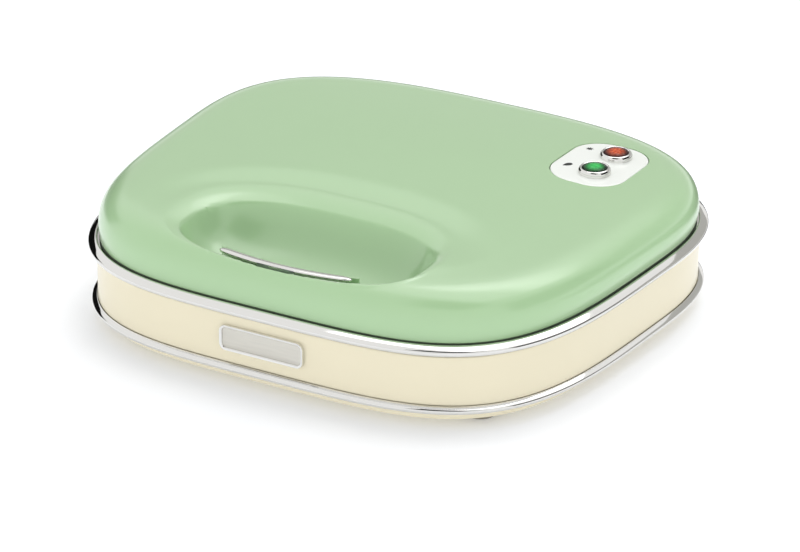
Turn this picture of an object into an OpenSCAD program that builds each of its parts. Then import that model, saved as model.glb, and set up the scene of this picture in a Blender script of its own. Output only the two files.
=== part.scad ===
// Two-slice sandwich toaster: a cream base and a domed green lid that hinges at the rear.
// X points right, Y to the back and Z up, in millimetres. The front face looks along -Y.
// The origin is on the table, under the middle of the outer box.
// The body's own middle line, from which the plan sizes are counted, lies body_y behind it.

/* [Plan outline] */
// Half the width of the cream band
half_w = 127; // [122:1:136]
// Depth from the middle line to the front face
front_d = 130; // [128:1:142]
// Depth from the middle line to the rear face
rear_d = 100; // [97:1:112]
// Squareness of the front half of the outline
front_n = 3.8; // [3.4:0.1:4.6]
// Squareness of the rear half of the outline
rear_n = 2.9; // [2.7:0.1:3.6]
// How much the outline widens towards the rear
taper = 0.058; // [0:0.002:0.08]
// Wall of the moulded casings
wall = 2.2; // [1.8:0.1:2.6]

/* [Heights] */
// Height of the feet below the bottom pan
foot_h = 3; // [2:0.5:8]
// Height of the bottom pan's visible edge
pan_edge_h = 4.2; // [3.5:0.1:6]
// Height of the lower trim ring
lower_ring_h = 4.6; // [4:0.1:6]
// Height of the cream band
band_h = 23; // [22:0.5:30]
// Gap between base and lid when closed
split_gap = 0.3; // [0.2:0.1:0.6]
// Height of the upper trim ring
upper_ring_h = 5.9; // [5:0.1:7]
// Rise of the lid's shoulder above its ring
dome_h = 20; // [19:0.5:26]
// Further rise of the lid to its crown
crown_h = 4.2; // [3:0.1:7]

/* [Lid shape] */
// Depth of the rounded shoulder, seen from above
dome_r = 20.6; // [18:0.2:23]
// Squareness of the shoulder's curve
dome_q = 3.2; // [2.4:0.1:3.6]
// How far the lid shell stands in from the band
dome_inset = 1.5; // [1:0.1:2]

/* [Trim rings] */
// How far the upper ring stands out from the band
upper_bulge = 4.1; // [3:0.1:5]
// How far the lower ring stands out from the band
lower_bulge = 3; // [2:0.1:4]

/* [Handle recess] */
// Half the length of the recess
scoop_half_l = 60; // [54:1:62]
// Lip of the recess, behind the front face
lip_inset = 5.6; // [4.6:0.1:7]
// Reach of the recess towards the front
scoop_near = 28.4; // [27:0.2:29]
// Reach of the recess towards the rear, before its soft rim
scoop_far = 29; // [26:1:30]
// Width of the soft rim
scoop_rim = 17; // [12:1:18]
// Depth of the recess below the lid's crown
scoop_depth = 21.5; // [18:0.5:22]

/* [Latch] */
// Radius of the curve that the latch bar follows
bar_curve_r = 150; // [140:1:170]
// Half the length of the latch bar
bar_half_l = 33; // [28:1:36]
// Width of the latch bar
bar_w = 4.3; // [3.5:0.1:4.6]
// Thickness of the latch bar
bar_t = 2.6; // [2:0.1:3]
// Gap in front of the bar, into which it is pulled
bar_travel_gap = 2.4; // [2.2:0.1:2.8]
// Height of the bar's top above the upper ring
bar_rise = 16.2; // [15.6:0.1:16.4]
// Depth of the latch pin below the bar's top
pivot_drop = 11.7; // [11:0.1:12]
// Latch pin diameter
latch_pin_d = 2.4; // [2:0.1:2.6]
// Thickness of the hook's arm
hook_t = 2.8; // [2.2:0.1:3]
// How far the hook's nose reaches under its keeper
hook_bite = 1.5; // [1.2:0.1:1.8]
// Wire of the return spring
spring_wire = 0.8; // [0.5:0.1:0.8]
// Turns of the return spring
spring_turns = 3; // [2:1:3]

/* [Cooking plates] */
// Width of a plate
plate_w = 212; // [206:1:214]
// Depth of a plate
plate_d = 124; // [120:1:126]
// Corner radius of a plate
plate_r = 20; // [16:1:24]
// Plate middle, behind the middle line
plate_y = 4; // [2:1:5]
// Thickness of a plate's flange
flange_t = 3.5; // [3:0.1:4]
// Depth of a sandwich pocket
pocket_depth = 9.5; // [8:0.1:9.8]
// Flat margin round the pockets
pocket_margin = 7; // [6.5:0.1:9]
// Width of the ridge that cuts a sandwich in two
ridge_w = 8; // [7.5:0.1:10]
// Half the width of the ridge between the two sandwiches
middle_ridge = 7.5; // [7.4:0.1:9]
// Wall of a pocket
pocket_wall = 2.6; // [2.2:0.1:2.8]
// Corner radius of a pocket at its mouth
pocket_r = 13; // [12:0.5:15]
// How far a pocket draws in from its mouth to its floor
pocket_draft = 11.5; // [9:0.5:11.5]
// Clearance between a plate and its frame
plate_fit = 0.3; // [0.2:0.05:0.5]
// Width of the ledge that carries a plate
ledge_w = 3.4; // [3:0.1:3.6]
// Plate screws, in from the plate's front and rear edges
plate_screw_inset = 5; // [4.8:0.1:5.2]
// Width of the tab of the ledge under each plate screw
tab_w = 6.8; // [6:0.2:8]

/* [Heating] */
// Diameter of the sheathed heating element
element_d = 6.4; // [6:0.1:6.6]
// Half the width of the element's loop
element_half_w = 60; // [50:1:62]
// Half the depth of the element's loop
element_half_d = 34; // [28:1:36]
// Bend radius of the element
element_bend = 14; // [12:1:18]
// Gap between the two ends of the element
element_gap = 28; // [24:1:40]
// Steel sheet of the heat shields
shield_t = 0.8; // [0.6:0.1:1]
// Thermostat diameter
thermostat_d = 16; // [14:1:17]
// Thermostat height
thermostat_h = 5; // [4:0.5:5.5]
// Diameter of the thermal fuse
fuse_d = 5; // [4:0.5:6]
// Length of the thermal fuse
fuse_l = 20; // [16:1:24]
// Thermal fuse, right of the middle line
fuse_x = 36; // [30:1:40]
// Spacing of the terminal block's ways
terminal_pitch = 11; // [9:0.5:12]
// Depth of the terminal block
terminal_d = 12; // [11:0.5:13]
// Height of the terminal block
terminal_h = 11; // [10:0.5:12]
// Terminal block, right of the middle line
terminal_x = -35; // [-38:1:-30]
// Terminal block, behind the middle line
terminal_y = 83; // [80:1:85]

/* [Lamps] */
// Width of the lamp panel
panel_w = 39.5; // [36:0.5:42]
// Depth of the lamp panel
panel_d = 49.5; // [46:0.5:52]
// Corner radius of the lamp panel
panel_r = 17; // [14:0.5:18]
// Lamp panel middle, right of the middle line
panel_x = 75; // [72:1:77]
// Lamp panel middle, behind the middle line
panel_y = 43; // [40:1:45]
// Lamps, right of the lamp panel's middle
lamp_dx = 3.5; // [2:0.5:5]
// Spacing of the two lamps
lamp_pitch = 21.7; // [19:0.1:24]
// Diameter of a lamp bezel
bezel_d = 15.4; // [14:0.2:17]
// Diameter of a lamp lens
lens_d = 11.8; // [10:0.2:12.4]
// Height of a bezel above the panel
bezel_h = 3; // [2:0.2:4]
// Wall of a bezel's neck
bezel_wall = 0.8; // [0.6:0.1:1]
// Length of a bezel's neck below its seat
bezel_neck = 3.4; // [3:0.2:4]

/* [Badge] */
// Width of the badge frame
badge_w = 43; // [36:1:48]
// Height of the badge frame
badge_h = 12.4; // [10:0.2:14]
// Thickness of the badge frame
badge_t = 1.7; // [1.4:0.1:2.2]
// Width of the badge frame's rim
badge_rim = 1.5; // [1.2:0.1:2]
// Corner radius of the badge frame
badge_r = 2.4; // [2:0.1:4]
// Thickness of the badge behind its field
badge_floor = 0.8; // [0.6:0.1:1]
// Badge middle, below the top of the band
badge_drop = 12; // [11:0.5:13]

/* [Hinge] */
// Radius of the hinge knuckles
knuckle_r = 6.5; // [6:0.1:7]
// Gap between the upper ring and the knuckles
knuckle_gap = 2.4; // [2:0.1:3]
// Hinge pin diameter
hinge_pin_d = 4; // [3.5:0.1:5]
// Radial clearance of the moving bores
bore_fit = 0.05; // [0.03:0.01:0.08]
// Width of a lid knuckle
lid_knuckle_w = 13.4; // [10:0.2:14]
// Width of a base ear
ear_w = 8; // [6:0.5:9]
// Middle of a lid knuckle, from the middle line
knuckle_x = 37; // [35:1:40]
// Side gap between knuckle and ear
knuckle_side = 0.3; // [0.3:0.05:0.6]
// Thickness of the arms that carry the lid knuckles
arm_t = 3.5; // [3:0.1:4]

/* [Feet and screws] */
// Diameter of a foot
foot_d = 16; // [12:1:18]
// Feet, left and right of the middle line
foot_x = 90; // [84:1:93]
// Front feet, behind the front face
foot_front_inset = 33; // [30:1:38]
// Rear feet, in front of the rear face
foot_rear_inset = 42; // [40:1:48]
// Front case screws, left and right of the middle line
front_screw_x = 100; // [92:1:102]
// Front case screws, behind the front face
front_screw_inset = 59; // [56:1:61]
// Rear case screws, left and right of the middle line
rear_screw_x = 64; // [60:1:66]
// Rear case screws, in front of the rear face
rear_screw_inset = 20; // [20:1:21]
// Case screw thread diameter
screw_d = 3; // [2.5:0.1:3.2]
// Case screw head diameter
screw_head_d = 6; // [5.4:0.2:6.4]
// Case screw head height
screw_head_h = 2; // [1.6:0.2:2.2]
// Length of the base's case screws
base_screw_l = 16; // [14:1:18]
// Length of the lid's case screws
lid_screw_l = 12; // [10:1:12]
// Length of the rear housing's screws
housing_screw_l = 18; // [16:1:18]

/* [Cord inlet] */
// Bore of the cord gland
gland_bore_d = 6.6; // [6:0.2:7.6]
// Diameter of the gland's collar
gland_collar_d = 13; // [12:0.5:14]
// Height of the gland above the table
gland_z = 20; // [19:0.5:21]
// Half the width of the rear housing
rear_half_w = 60; // [58:1:64]
// Rear housing screws, left and right of the middle line
housing_screw_x = 48; // [47:1:50]

/* [Hidden] */
CREAM = "#EBDFC2";
GREEN = "#B5D4AF";
CHROME = "#D8D8D4";
STEEL = "#A9ABAD";
NONSTICK = "#2B2A2B";
WHITE = "#EEF0EC";
BLACK = "#1E1E1F";
outline_n = 72;
scoop_n = 48;
scoop_power = 2.5;
corner_n = 6;
pan_z = foot_h;
lower_ring_z = pan_z + pan_edge_h;
band_z = lower_ring_z + lower_ring_h;
band_top = band_z + band_h;
lid_z = band_top + split_gap;
dome_z = lid_z + upper_ring_h;
dome_top = dome_z + dome_h + crown_h;
// Rings and casings meet at this distance in from the band's face
ring_inset = dome_inset + wall;
base_ring_inset = wall + 0.2;
// Horizontal distance over which the crown fades out to nothing at the lid's edge
crown_reach = 0.5 * (half_w + (front_d + rear_d) / 2) - dome_inset;
shoulder_rho = 1 - dome_r / crown_reach;
hinge_y = rear_d + upper_bulge + knuckle_gap + knuckle_r;
hinge_z = band_top + split_gap / 2;
rear_block_y = hinge_y + knuckle_r + 1.5;
gland_end_y = rear_block_y + 2.6;
// Depth of the lid's screw heads in the liner, and height of the cups that hold them
lid_seat_z = lid_z + screw_head_h + 0.4;
lid_cup_z = lid_seat_z + 1.4;
body_y = (front_d + upper_bulge - gland_end_y) / 2;
plate_lower = [band_top - flange_t, band_top];
plate_upper = [lid_z, lid_z + flange_t];
mound_h = pocket_depth + pocket_wall;
shield_reach = mound_h + element_d + 0.4;
shield_half_w = element_half_w + element_d / 2 + 13;
shield_half_d = element_half_d + element_d / 2 + 5;
lamp_x = panel_x + lamp_dx;
lamp_y = [panel_y - lamp_pitch / 2, panel_y + lamp_pitch / 2];
holder_h = 4.6;
lamp_seat = [for (y = lamp_y) lid_top_z(lamp_x, y) - 0.8];
case_screws = [
    for (side = [-1, 1]) [side * front_screw_x, front_screw_inset - front_d],
    for (side = [-1, 1]) [side * rear_screw_x, rear_d - rear_screw_inset]
];
feet_at = [
    for (side = [-1, 1]) [side * foot_x, foot_front_inset - front_d],
    for (side = [-1, 1]) [side * foot_x, rear_d - foot_rear_inset]
];
plate_screw_y = [for (side = [-1, 1]) plate_y + side * (plate_d / 2 - plate_screw_inset)];
scoop_y = front_d - lip_inset - scoop_near;
// The latch bar's arc is centred on the middle line, this far behind it
bar_centre_y = bar_curve_r - front_d + lip_inset;
slot_front_r = bar_curve_r - 0.4;
bar_front_r = slot_front_r - bar_travel_gap;
slot_rear_r = bar_front_r - bar_w - 0.5;
slot_half_l = bar_half_l + 1.5;
bar_top = dome_z + bar_rise;
pivot_y = bar_centre_y - (bar_front_r + bar_front_r - bar_w) / 2;
pivot_z = bar_top - pivot_drop;
web_half_w = 9.5;
hook_half_w = 8;
hook_front = pivot_y - hook_t / 2;
keeper_edge = hook_front - 1.3;
keeper_z = band_top - wall - 2;
keeper_t = 1.6;
hook_nose_top = keeper_z - 0.4;
hook_bottom = hook_nose_top - 2.4;
post_x = 14;
post_t = 3;
pin_half_l = post_x + post_t + 1;
spring_r = latch_pin_d / 2 + spring_wire / 2 + 0.25;
spring_pitch = spring_wire + 0.3;
spring_steps = 14;
spring_sides = 6;
spring_x = web_half_w + 0.7;
spring_count = spring_turns * spring_steps;
// Where a window for the hook is cut through the liner and the deck
window_front = keeper_edge - hook_bite - 1.2;
window_rear = pivot_y + 7.5;

$fn = 64;

// The plan outline is a superellipse in each half, squarer in front, widened towards the rear
function signed_power(v, p) = sign(v) * pow(abs(v), p);
function outline_xy(t) =
    let (n = sin(t) < 0 ? front_n : rear_n,
         d = sin(t) < 0 ? front_d : rear_d,
         y = d * signed_power(sin(t), 2 / n))
    [half_w * signed_power(cos(t), 2 / n) * (1 + taper * y / half_w), y];
function outline_normal(t) =
    let (step = outline_xy(t + 0.5) - outline_xy(t - 0.5))
    [step[1], -step[0]] / norm(step);
function outline_point(t, inset) = outline_xy(t) - inset * outline_normal(t);
function outline(inset) = [for (i = [0:outline_n - 1]) outline_point(360 * i / outline_n, inset)];
function at_height(points, z) = [for (p = points) [p[0], p[1], z]];

// Rings of the lid: up the rounded shoulder, then in over the crown
function crown_z(rho) = crown_h * (1 - rho * rho);
function shoulder_ring(th, depth) =
    let (run = dome_r * (1 - pow(cos(th), 2 / dome_q)),
         rise = (dome_h - depth) * pow(sin(th), 2 / dome_q))
    at_height(outline(dome_inset + depth + run), dome_z + rise + crown_z(1 - run / crown_reach));
function crown_ring(s, depth) =
    at_height(s * outline(dome_inset + depth + dome_r),
              dome_z + dome_h - depth + crown_z(shoulder_rho * s));
function dome_rings(depth, steps, inner) = concat(
    [for (i = [0:steps]) shoulder_ring(90 * pow(i / steps, 1.6), depth)],
    [for (i = [inner:-1:1]) crown_ring(i / (inner + 1), depth)]
);
// Height of the lid's top face over a point of the crown
function lid_top_z(x, y) =
    let (n = y < 0 ? front_n : rear_n,
         a = half_w * (1 + taper * y / half_w) - dome_inset - dome_r,
         d = (y < 0 ? front_d : rear_d) - dome_inset - dome_r)
    dome_z + dome_h + crown_z(shoulder_rho * pow(pow(abs(x) / a, n) + pow(abs(y) / d, n), 1 / n));

// Rings of the handle recess, from its floor (u = 0) up its wall and out over its soft rim
function scoop_ring(half_l, near, far, z) = [
    for (i = [0:scoop_n - 1])
        let (t = 360 * i / scoop_n)
        [half_l * signed_power(cos(t), 2 / scoop_power),
         -scoop_y + (sin(t) < 0 ? near : far) * signed_power(sin(t), 2 / scoop_power), z]
];
function scoop_bowl_ring(u, depth) =
    let (in = 1 - pow(cos(90 * u), 0.9), up = 1 - cos(90 * pow(u, 1.4)),
         floor_z = dome_top - scoop_depth, rim_z = dome_top - 3.4)
    scoop_ring(scoop_half_l * (0.5 + 0.5 * sin(90 * u)) + depth,
               scoop_near * (0.4 + 0.6 * sin(min(90, 130 * u))) + depth,
               scoop_far * (0.25 + 0.75 * sin(90 * u)) + depth,
               floor_z + (rim_z - floor_z) * up - depth * (1 - up));
function scoop_rim_ring(u, depth) =
    let (out = scoop_rim * (1 - cos(90 * u)))
    scoop_ring(scoop_half_l + depth + out * 0.5, scoop_near + depth, scoop_far + depth + out,
               dome_top - 3.4 + 3.6 * sin(90 * u));
function scoop_rings(depth) = concat(
    [for (i = [0:6]) scoop_bowl_ring(i / 6, depth)],
    [for (i = [1:3]) scoop_rim_ring(i / 3, depth)],
    [scoop_ring(scoop_half_l + depth + scoop_rim, scoop_near + depth,
                scoop_far + depth + 1.5 * scoop_rim, dome_top + 4)]
);

// A corner of a pocket: an arc about a centre that every ring of the pocket shares
function unit(v) = v / norm(v);
function corner_arc(p, before, after, r) =
    let (u = unit(before - p), v = unit(after - p), half = acos(u * v) / 2,
         c = p + unit(u + v) * pocket_r / sin(half), start = atan2(u[0], -u[1]))
    [for (k = [0:corner_n])
        let (a = start + (180 - 2 * half) * k / corner_n)
        c + r * [cos(a), sin(a)]];
function triangle_ring(t, inset) = concat(
    corner_arc(t[0], t[2], t[1], pocket_r - inset),
    corner_arc(t[1], t[0], t[2], pocket_r - inset),
    corner_arc(t[2], t[1], t[0], pocket_r - inset)
);
// The two triangles of the right-hand sandwich, either side of its diagonal ridge
half_x = [middle_ridge, plate_w / 2 - pocket_margin];
half_y = [plate_y - plate_d / 2 + pocket_margin, plate_y + plate_d / 2 - pocket_margin];
diagonal = norm([half_x[1] - half_x[0], half_y[1] - half_y[0]]);
ridge_dx = ridge_w / 2 * diagonal / (half_y[1] - half_y[0]);
ridge_dy = ridge_w / 2 * diagonal / (half_x[1] - half_x[0]);
triangles = [
    [[half_x[0] + ridge_dx, half_y[0]], [half_x[1], half_y[0]], [half_x[1], half_y[1] - ridge_dy]],
    [[half_x[0], half_y[0] + ridge_dy], [half_x[1] - ridge_dx, half_y[1]], [half_x[0], half_y[1]]]
];

module in_place() {
    translate([0, body_y, 0]) children();
}

module mirrored_pair() {
    children();
    mirror([1, 0, 0]) children();
}

// A closed skin through a stack of rings, with flat ends
module loft(rings) {
    n = len(rings[0]);
    last = len(rings) - 1;
    polyhedron(
        points = [for (ring = rings) each ring],
        faces = concat(
            [[for (i = [0:n - 1]) i]],
            [for (j = [0:last - 1]) for (i = [0:n - 1])
                [j * n + i, (j + 1) * n + i, (j + 1) * n + (i + 1) % n, j * n + (i + 1) % n]],
            [[for (i = [n - 1:-1:0]) last * n + i]]
        ),
        convexity = 8
    );
}

// A closed profile of [inset, height] points carried all the way round the outline
module outline_sweep(profile) {
    k = len(profile);
    n = outline_n;
    polyhedron(
        points = [for (i = [0:n - 1]) for (p = profile)
            let (q = outline_point(360 * i / n, p[0])) [q[0], q[1], p[1]]],
        faces = [for (i = [0:n - 1]) for (j = [0:k - 1])
            let (a = i * k, b = ((i + 1) % n) * k, next = (j + 1) % k)
            [a + j, a + next, b + next, b + j]],
        convexity = 8
    );
}

module outline_slab(inset, z, h) {
    translate([0, 0, z]) linear_extrude(h) polygon(outline(inset));
}

module outline_wall(outer, inner, z, h) {
    translate([0, 0, z]) linear_extrude(h) difference() {
        polygon(outline(outer));
        polygon(outline(inner));
    }
}

module rounded_rect(w, d, r) {
    square([w - 2 * r, d], center = true);
    square([w, d - 2 * r], center = true);
    for (x = [-1, 1]) for (y = [-1, 1])
        translate([x * (w / 2 - r), y * (d / 2 - r)]) circle(r);
}

// A slab of the plates' shape, grown by a margin on every side
module plate_slab(grow, z, h) {
    translate([0, plate_y, z]) linear_extrude(h)
        rounded_rect(plate_w + 2 * grow, plate_d + 2 * grow, plate_r + grow);
}

module block(x, y, z) {
    translate([x[0], y[0], z[0]]) cube([x[1] - x[0], y[1] - y[0], z[1] - z[0]]);
}

module x_rod(d, x, y, z) {
    translate([x[0], y, z]) rotate([0, 90, 0]) cylinder(d = d, h = x[1] - x[0]);
}

module y_rod(d, x, y, z) {
    translate([x, y[0], z]) rotate([-90, 0, 0]) cylinder(d = d, h = y[1] - y[0]);
}

// Pieces of the base

module base_pan() color(CREAM) in_place() {
    floor_t = wall;
    difference() {
        union() {
            loft([
                at_height(outline(base_ring_inset + 2.4), pan_z),
                at_height(outline(base_ring_inset + 0.9), pan_z + 0.7),
                at_height(outline(base_ring_inset - 0.2), pan_z + 0.5 * pan_edge_h),
                at_height(outline(base_ring_inset - 0.8), lower_ring_z)
            ]);
            outline_slab(base_ring_inset, lower_ring_z, lower_ring_h + 2);
        }
        outline_slab(base_ring_inset + 2, pan_z + floor_t, band_top);
        for (p = feet_at)
            translate([p[0], p[1], 0]) cylinder(d = foot_d / 2, h = band_top);
        for (p = case_screws)
            translate([p[0], p[1], 0]) cylinder(d = screw_head_d + 0.6, h = band_top);
    }
    for (p = case_screws)
        translate([p[0], p[1], pan_z]) pan_boss();
}

// A cup round a case screw: its floor carries the screw's head
module pan_boss() {
    difference() {
        cylinder(d = screw_head_d + 4, h = pan_edge_h + lower_ring_h);
        translate([0, 0, -1]) cylinder(d = screw_head_d + 0.6, h = pan_edge_h + lower_ring_h - 1);
        translate([0, 0, -1]) cylinder(d = screw_d + 0.4, h = 20);
    }
}

module lower_trim_ring() color(CHROME) in_place() {
    z = lower_ring_z;
    outline_sweep([
        [base_ring_inset, z],
        [0.4, z],
        [-0.55 * lower_bulge, z + 0.42 * lower_ring_h],
        [-0.9 * lower_bulge, z + 0.68 * lower_ring_h],
        [-lower_bulge, z + 0.82 * lower_ring_h],
        [-0.85 * lower_bulge, z + 0.93 * lower_ring_h],
        [-0.5 * lower_bulge, z + 0.98 * lower_ring_h],
        [0.3, z + lower_ring_h],
        [base_ring_inset, z + lower_ring_h]
    ]);
}

module base_housing() color(CREAM) in_place() {
    ledge_top = plate_lower[0];
    difference() {
        union() {
            outline_wall(0, base_ring_inset, band_z, band_h);
            outline_slab(base_ring_inset - 0.1, band_top - wall, wall);
            plate_slab(2 + plate_fit, ledge_top - wall, flange_t);
            for (p = case_screws)
                translate([p[0], p[1], band_z]) cylinder(d = screw_head_d + 3, h = band_h - 1);
            mirrored_pair() translate([housing_screw_x, 0, gland_z])
                block([-4, 4], [rear_d - 9, rear_d - 3], [-4, 4]);
        }
        plate_slab(plate_fit, ledge_top, band_h);
        difference() {
            plate_slab(-ledge_w, 0, band_top + 1);
            for (y = plate_screw_y)
                translate([0, y, 0]) block([-tab_w / 2, tab_w / 2], [-5, 5], [0, band_top]);
        }
        for (y = plate_screw_y) translate([0, y, 0]) cylinder(d = screw_d + 0.3, h = band_top);
        for (p = case_screws)
            translate([p[0], p[1], band_z - 1]) cylinder(d = screw_d, h = band_h - 4);
        block([-hook_half_w - 3, hook_half_w + 3], [window_front, window_rear],
              [band_z, band_top + 1]);
        y_rod(9, 0, [rear_d - 8, rear_d + 2], gland_z);
        mirrored_pair() y_rod(screw_d, housing_screw_x, [rear_d - 12, rear_d + 2], gland_z);
    }
}

module badge_plane() {
    translate([0, -front_d, band_top - badge_drop]) rotate([90, 0, 0]) children();
}

module badge_field() {
    rounded_rect(badge_w - 2 * badge_rim, badge_h - 2 * badge_rim, badge_r - badge_rim + 0.5);
}

module badge_frame() color(CHROME) in_place() badge_plane() difference() {
    linear_extrude(badge_t) rounded_rect(badge_w, badge_h, badge_r);
    translate([0, 0, badge_floor]) linear_extrude(badge_t) badge_field();
}

module badge_panel() color(STEEL) in_place() badge_plane()
    translate([0, 0, badge_floor]) linear_extrude(badge_t - badge_floor - 0.4) badge_field();

// Round foot with a stem that is pressed through the pan
module feet() color(BLACK) in_place() for (p = feet_at) translate([p[0], p[1], 0]) {
    rotate_extrude() polygon([
        [0, 0], [foot_d / 2 - 0.8, 0], [foot_d / 2, 0.8], [foot_d / 2, foot_h],
        [foot_d / 4, foot_h], [foot_d / 4, foot_h + wall], [foot_d / 4 + 0.8, foot_h + wall],
        [foot_d / 4 - 0.6, foot_h + wall + 2.4], [0, foot_h + wall + 2.4]
    ]);
}

// A screw whose head rests at z = 0 and whose thread runs up
module screw(length) {
    rotate_extrude() polygon([
        [0, -screw_head_h], [screw_head_d / 2 - 0.6, -screw_head_h],
        [screw_head_d / 2, -screw_head_h + 0.6], [screw_head_d / 2, 0],
        [screw_d / 2, 0], [screw_d / 2, length - 1], [screw_d / 2 - 0.8, length], [0, length]
    ]);
}

module driven_screw(length) difference() {
    screw(length);
    for (a = [0, 90]) rotate([0, 0, a])
        translate([0, 0, -screw_head_h]) cube([screw_head_d * 0.6, 0.9, 1.8], center = true);
}

module base_screws() color(STEEL) in_place() for (p = case_screws)
    translate([p[0], p[1], pan_z + pan_edge_h + lower_ring_h - 2]) driven_screw(base_screw_l);

// The pockets' profile is a quarter ellipse, and the mound that holds a pocket runs parallel
module pocket(t) {
    loft([for (u = [-0.02, 0.2, 0.4, 0.6, 0.8, 1])
        at_height(triangle_ring(t, pocket_draft * (1 - cos(90 * max(u, 0)))),
                  pocket_depth * sin(90 * u))]);
}

module mound(t) {
    reach = pocket_draft + pocket_wall;
    loft([for (u = [0.08, 0.25, 0.42, 0.6, 0.8, 1])
        at_height(triangle_ring(t, reach * (1 - cos(90 * u)) - pocket_wall),
                  mound_h * sin(90 * u))]);
}

// A cast plate with its face at z = 0 and its pockets swelling upwards
module cast_plate() {
    difference() {
        union() {
            plate_slab(0, 0, flange_t);
            mirrored_pair() for (t = triangles) mound(t);
            for (y = plate_screw_y) translate([0, y, 0]) cylinder(d = 6.6, h = flange_t);
        }
        mirrored_pair() for (t = triangles) pocket(t);
        for (y = plate_screw_y)
            translate([0, y, 1.2]) cylinder(d = screw_d, h = flange_t);
    }
}

module lower_plate() color(NONSTICK) in_place()
    translate([0, 0, band_top]) mirror([0, 0, 1]) cast_plate();

module plate_screws() for (y = plate_screw_y)
    translate([0, y, 0]) driven_screw(wall + flange_t - 1.4);

module lower_plate_screws() color(STEEL) in_place()
    translate([0, 0, plate_lower[0] - wall]) plate_screws();

// A sheathed rod bent into a rectangle that stays open at the rear, where its ends turn down
module heating_element() {
    r = element_bend;
    d = element_d;
    w = element_half_w;
    h = element_half_d;
    gap = element_gap / 2;
    translate([0, plate_y, -d / 2]) {
        for (sx = [-1, 1]) for (sy = [-1, 1]) translate([sx * (w - r), sy * (h - r), 0])
            rotate([0, 0, sx > 0 ? (sy > 0 ? 0 : -90) : (sy > 0 ? 90 : 180)])
                rotate_extrude(angle = 90) translate([r, 0]) circle(d = d);
        x_rod(d, [r - w, w - r], -h, 0);
        for (sx = [-1, 1]) y_rod(d, sx * w, [r - h, h - r], 0);
        for (sx = [-1, 1]) {
            x_rod(d, sx > 0 ? [gap, w - r] : [r - w, -gap], h, 0);
            translate([sx * gap, h, 0]) sphere(d = d);
            y_rod(d, sx * gap, [h, h + 11], 0);
            y_rod(3, sx * gap, [h + 11, h + 17], 0);
        }
    }
}

module lower_heating_element() color(STEEL) in_place()
    translate([0, 0, band_top - mound_h]) heating_element();

// Tapered tray of sheet steel that throws the heat back at its plate: mouth at z = 0, floor above
module heat_shield(height) {
    difference() {
        shield_body(0, height, 0);
        shield_body(shield_t, height - shield_t, 0.5);
        for (side = [-1, 1])
            translate([side * element_gap / 2, 0, height - element_d / 2 - 0.4 - shield_t])
                y_rod(element_d + 1.2, 0, [plate_y, plate_y + plate_d], 0);
    }
}

module shield_body(inset, height, overrun) {
    hull() {
        translate([0, plate_y, -overrun]) linear_extrude(overrun + 1)
            rounded_rect(plate_w + 3 - 2 * inset, plate_d + 3 - 2 * inset, plate_r, $fn = 32);
        translate([0, plate_y, height - 1]) linear_extrude(1)
            rounded_rect(2 * (shield_half_w - inset), 2 * (shield_half_d - inset),
                         element_bend, $fn = 32);
    }
}

module lower_heat_shield() color(STEEL) in_place()
    translate([0, 0, plate_lower[0] - wall]) mirror([0, 0, 1])
        heat_shield(shield_reach - flange_t - wall + shield_t);

// Cut-out fuse in a clip on the heat shield
module thermal_fuse() color(WHITE) in_place() {
    z = band_top - shield_reach - shield_t - fuse_d / 2;
    translate([fuse_x, 0, 0]) {
        x_rod(fuse_d, [-fuse_l / 2, fuse_l / 2], plate_y, z);
        x_rod(1.4, [-fuse_l / 2 - 8, fuse_l / 2 + 8], plate_y, z);
    }
}

// Three-way block on the pan's floor, with a wire bore and a screw well for each way
module terminal_block() color(WHITE) in_place() translate([terminal_x, terminal_y, pan_z + wall]) {
    half_l = 1.5 * terminal_pitch + 0.5;
    half_d = terminal_d / 2;
    difference() {
        block([-half_l, half_l], [-half_d, half_d], [0, terminal_h]);
        for (i = [-1:1]) {
            y_rod(4.2, i * terminal_pitch, [-half_d - 1, half_d + 1], terminal_h / 2 - 0.5);
            translate([i * terminal_pitch, 0, terminal_h / 2]) cylinder(d = 4, h = terminal_h);
        }
    }
}

// Steel strip over the front edge of the deck's window, under which the hook's nose catches
module latch_keeper() color(STEEL) in_place() {
    half = hook_half_w + 2.4;
    front = base_ring_inset - front_d + 0.3;
    block([-half, half], [front, keeper_edge], [keeper_z, keeper_z + keeper_t]);
    block([-half, half], [front, front + 1.2], [keeper_z - 6, keeper_z]);
}

// Moulded block at the rear that carries the hinge ears and the cord inlet
module rear_housing() color(CREAM) in_place() {
    top = hinge_z - knuckle_r - 0.8;
    bottom = band_z + 0.6;
    difference() {
        union() {
            translate([0, rear_block_y - 20, bottom]) linear_extrude(top - bottom)
                rounded_rect(2 * rear_half_w, 40, 8);
            mirrored_pair() for (side = [-1, 1]) {
                x = ear_span(side);
                block(x, [hinge_y - knuckle_r, hinge_y + knuckle_r], [top - 1, hinge_z]);
                x_rod(2 * knuckle_r, x, hinge_y, hinge_z);
            }
        }
        outline_slab(0, 0, band_top);
        block([-40, 40], [rear_d - 20, rear_block_y - 2.4], [bottom + 2, top - 2]);
        y_rod(gland_collar_d - 3.4, 0, [rear_d, rear_block_y + 1], gland_z);
        mirrored_pair() y_rod(screw_d, housing_screw_x, [rear_d - 4, rear_d + 10], gland_z);
        mirrored_pair() x_rod(hinge_pin_d, ear_reach(), hinge_y, hinge_z);
    }
}

// Left and right ends of the ear on one side of the right-hand knuckle
function ear_span(side) =
    let (inner = knuckle_x + side * (lid_knuckle_w / 2 + knuckle_side))
    side > 0 ? [inner, inner + ear_w] : [inner - ear_w, inner];
function ear_reach() = [ear_span(-1)[0] - 1, ear_span(1)[1] + 1];

module rear_housing_screws() color(STEEL) in_place() mirrored_pair()
    translate([housing_screw_x, rear_d - 9, gland_z]) rotate([-90, 0, 0]) driven_screw(housing_screw_l);

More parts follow.
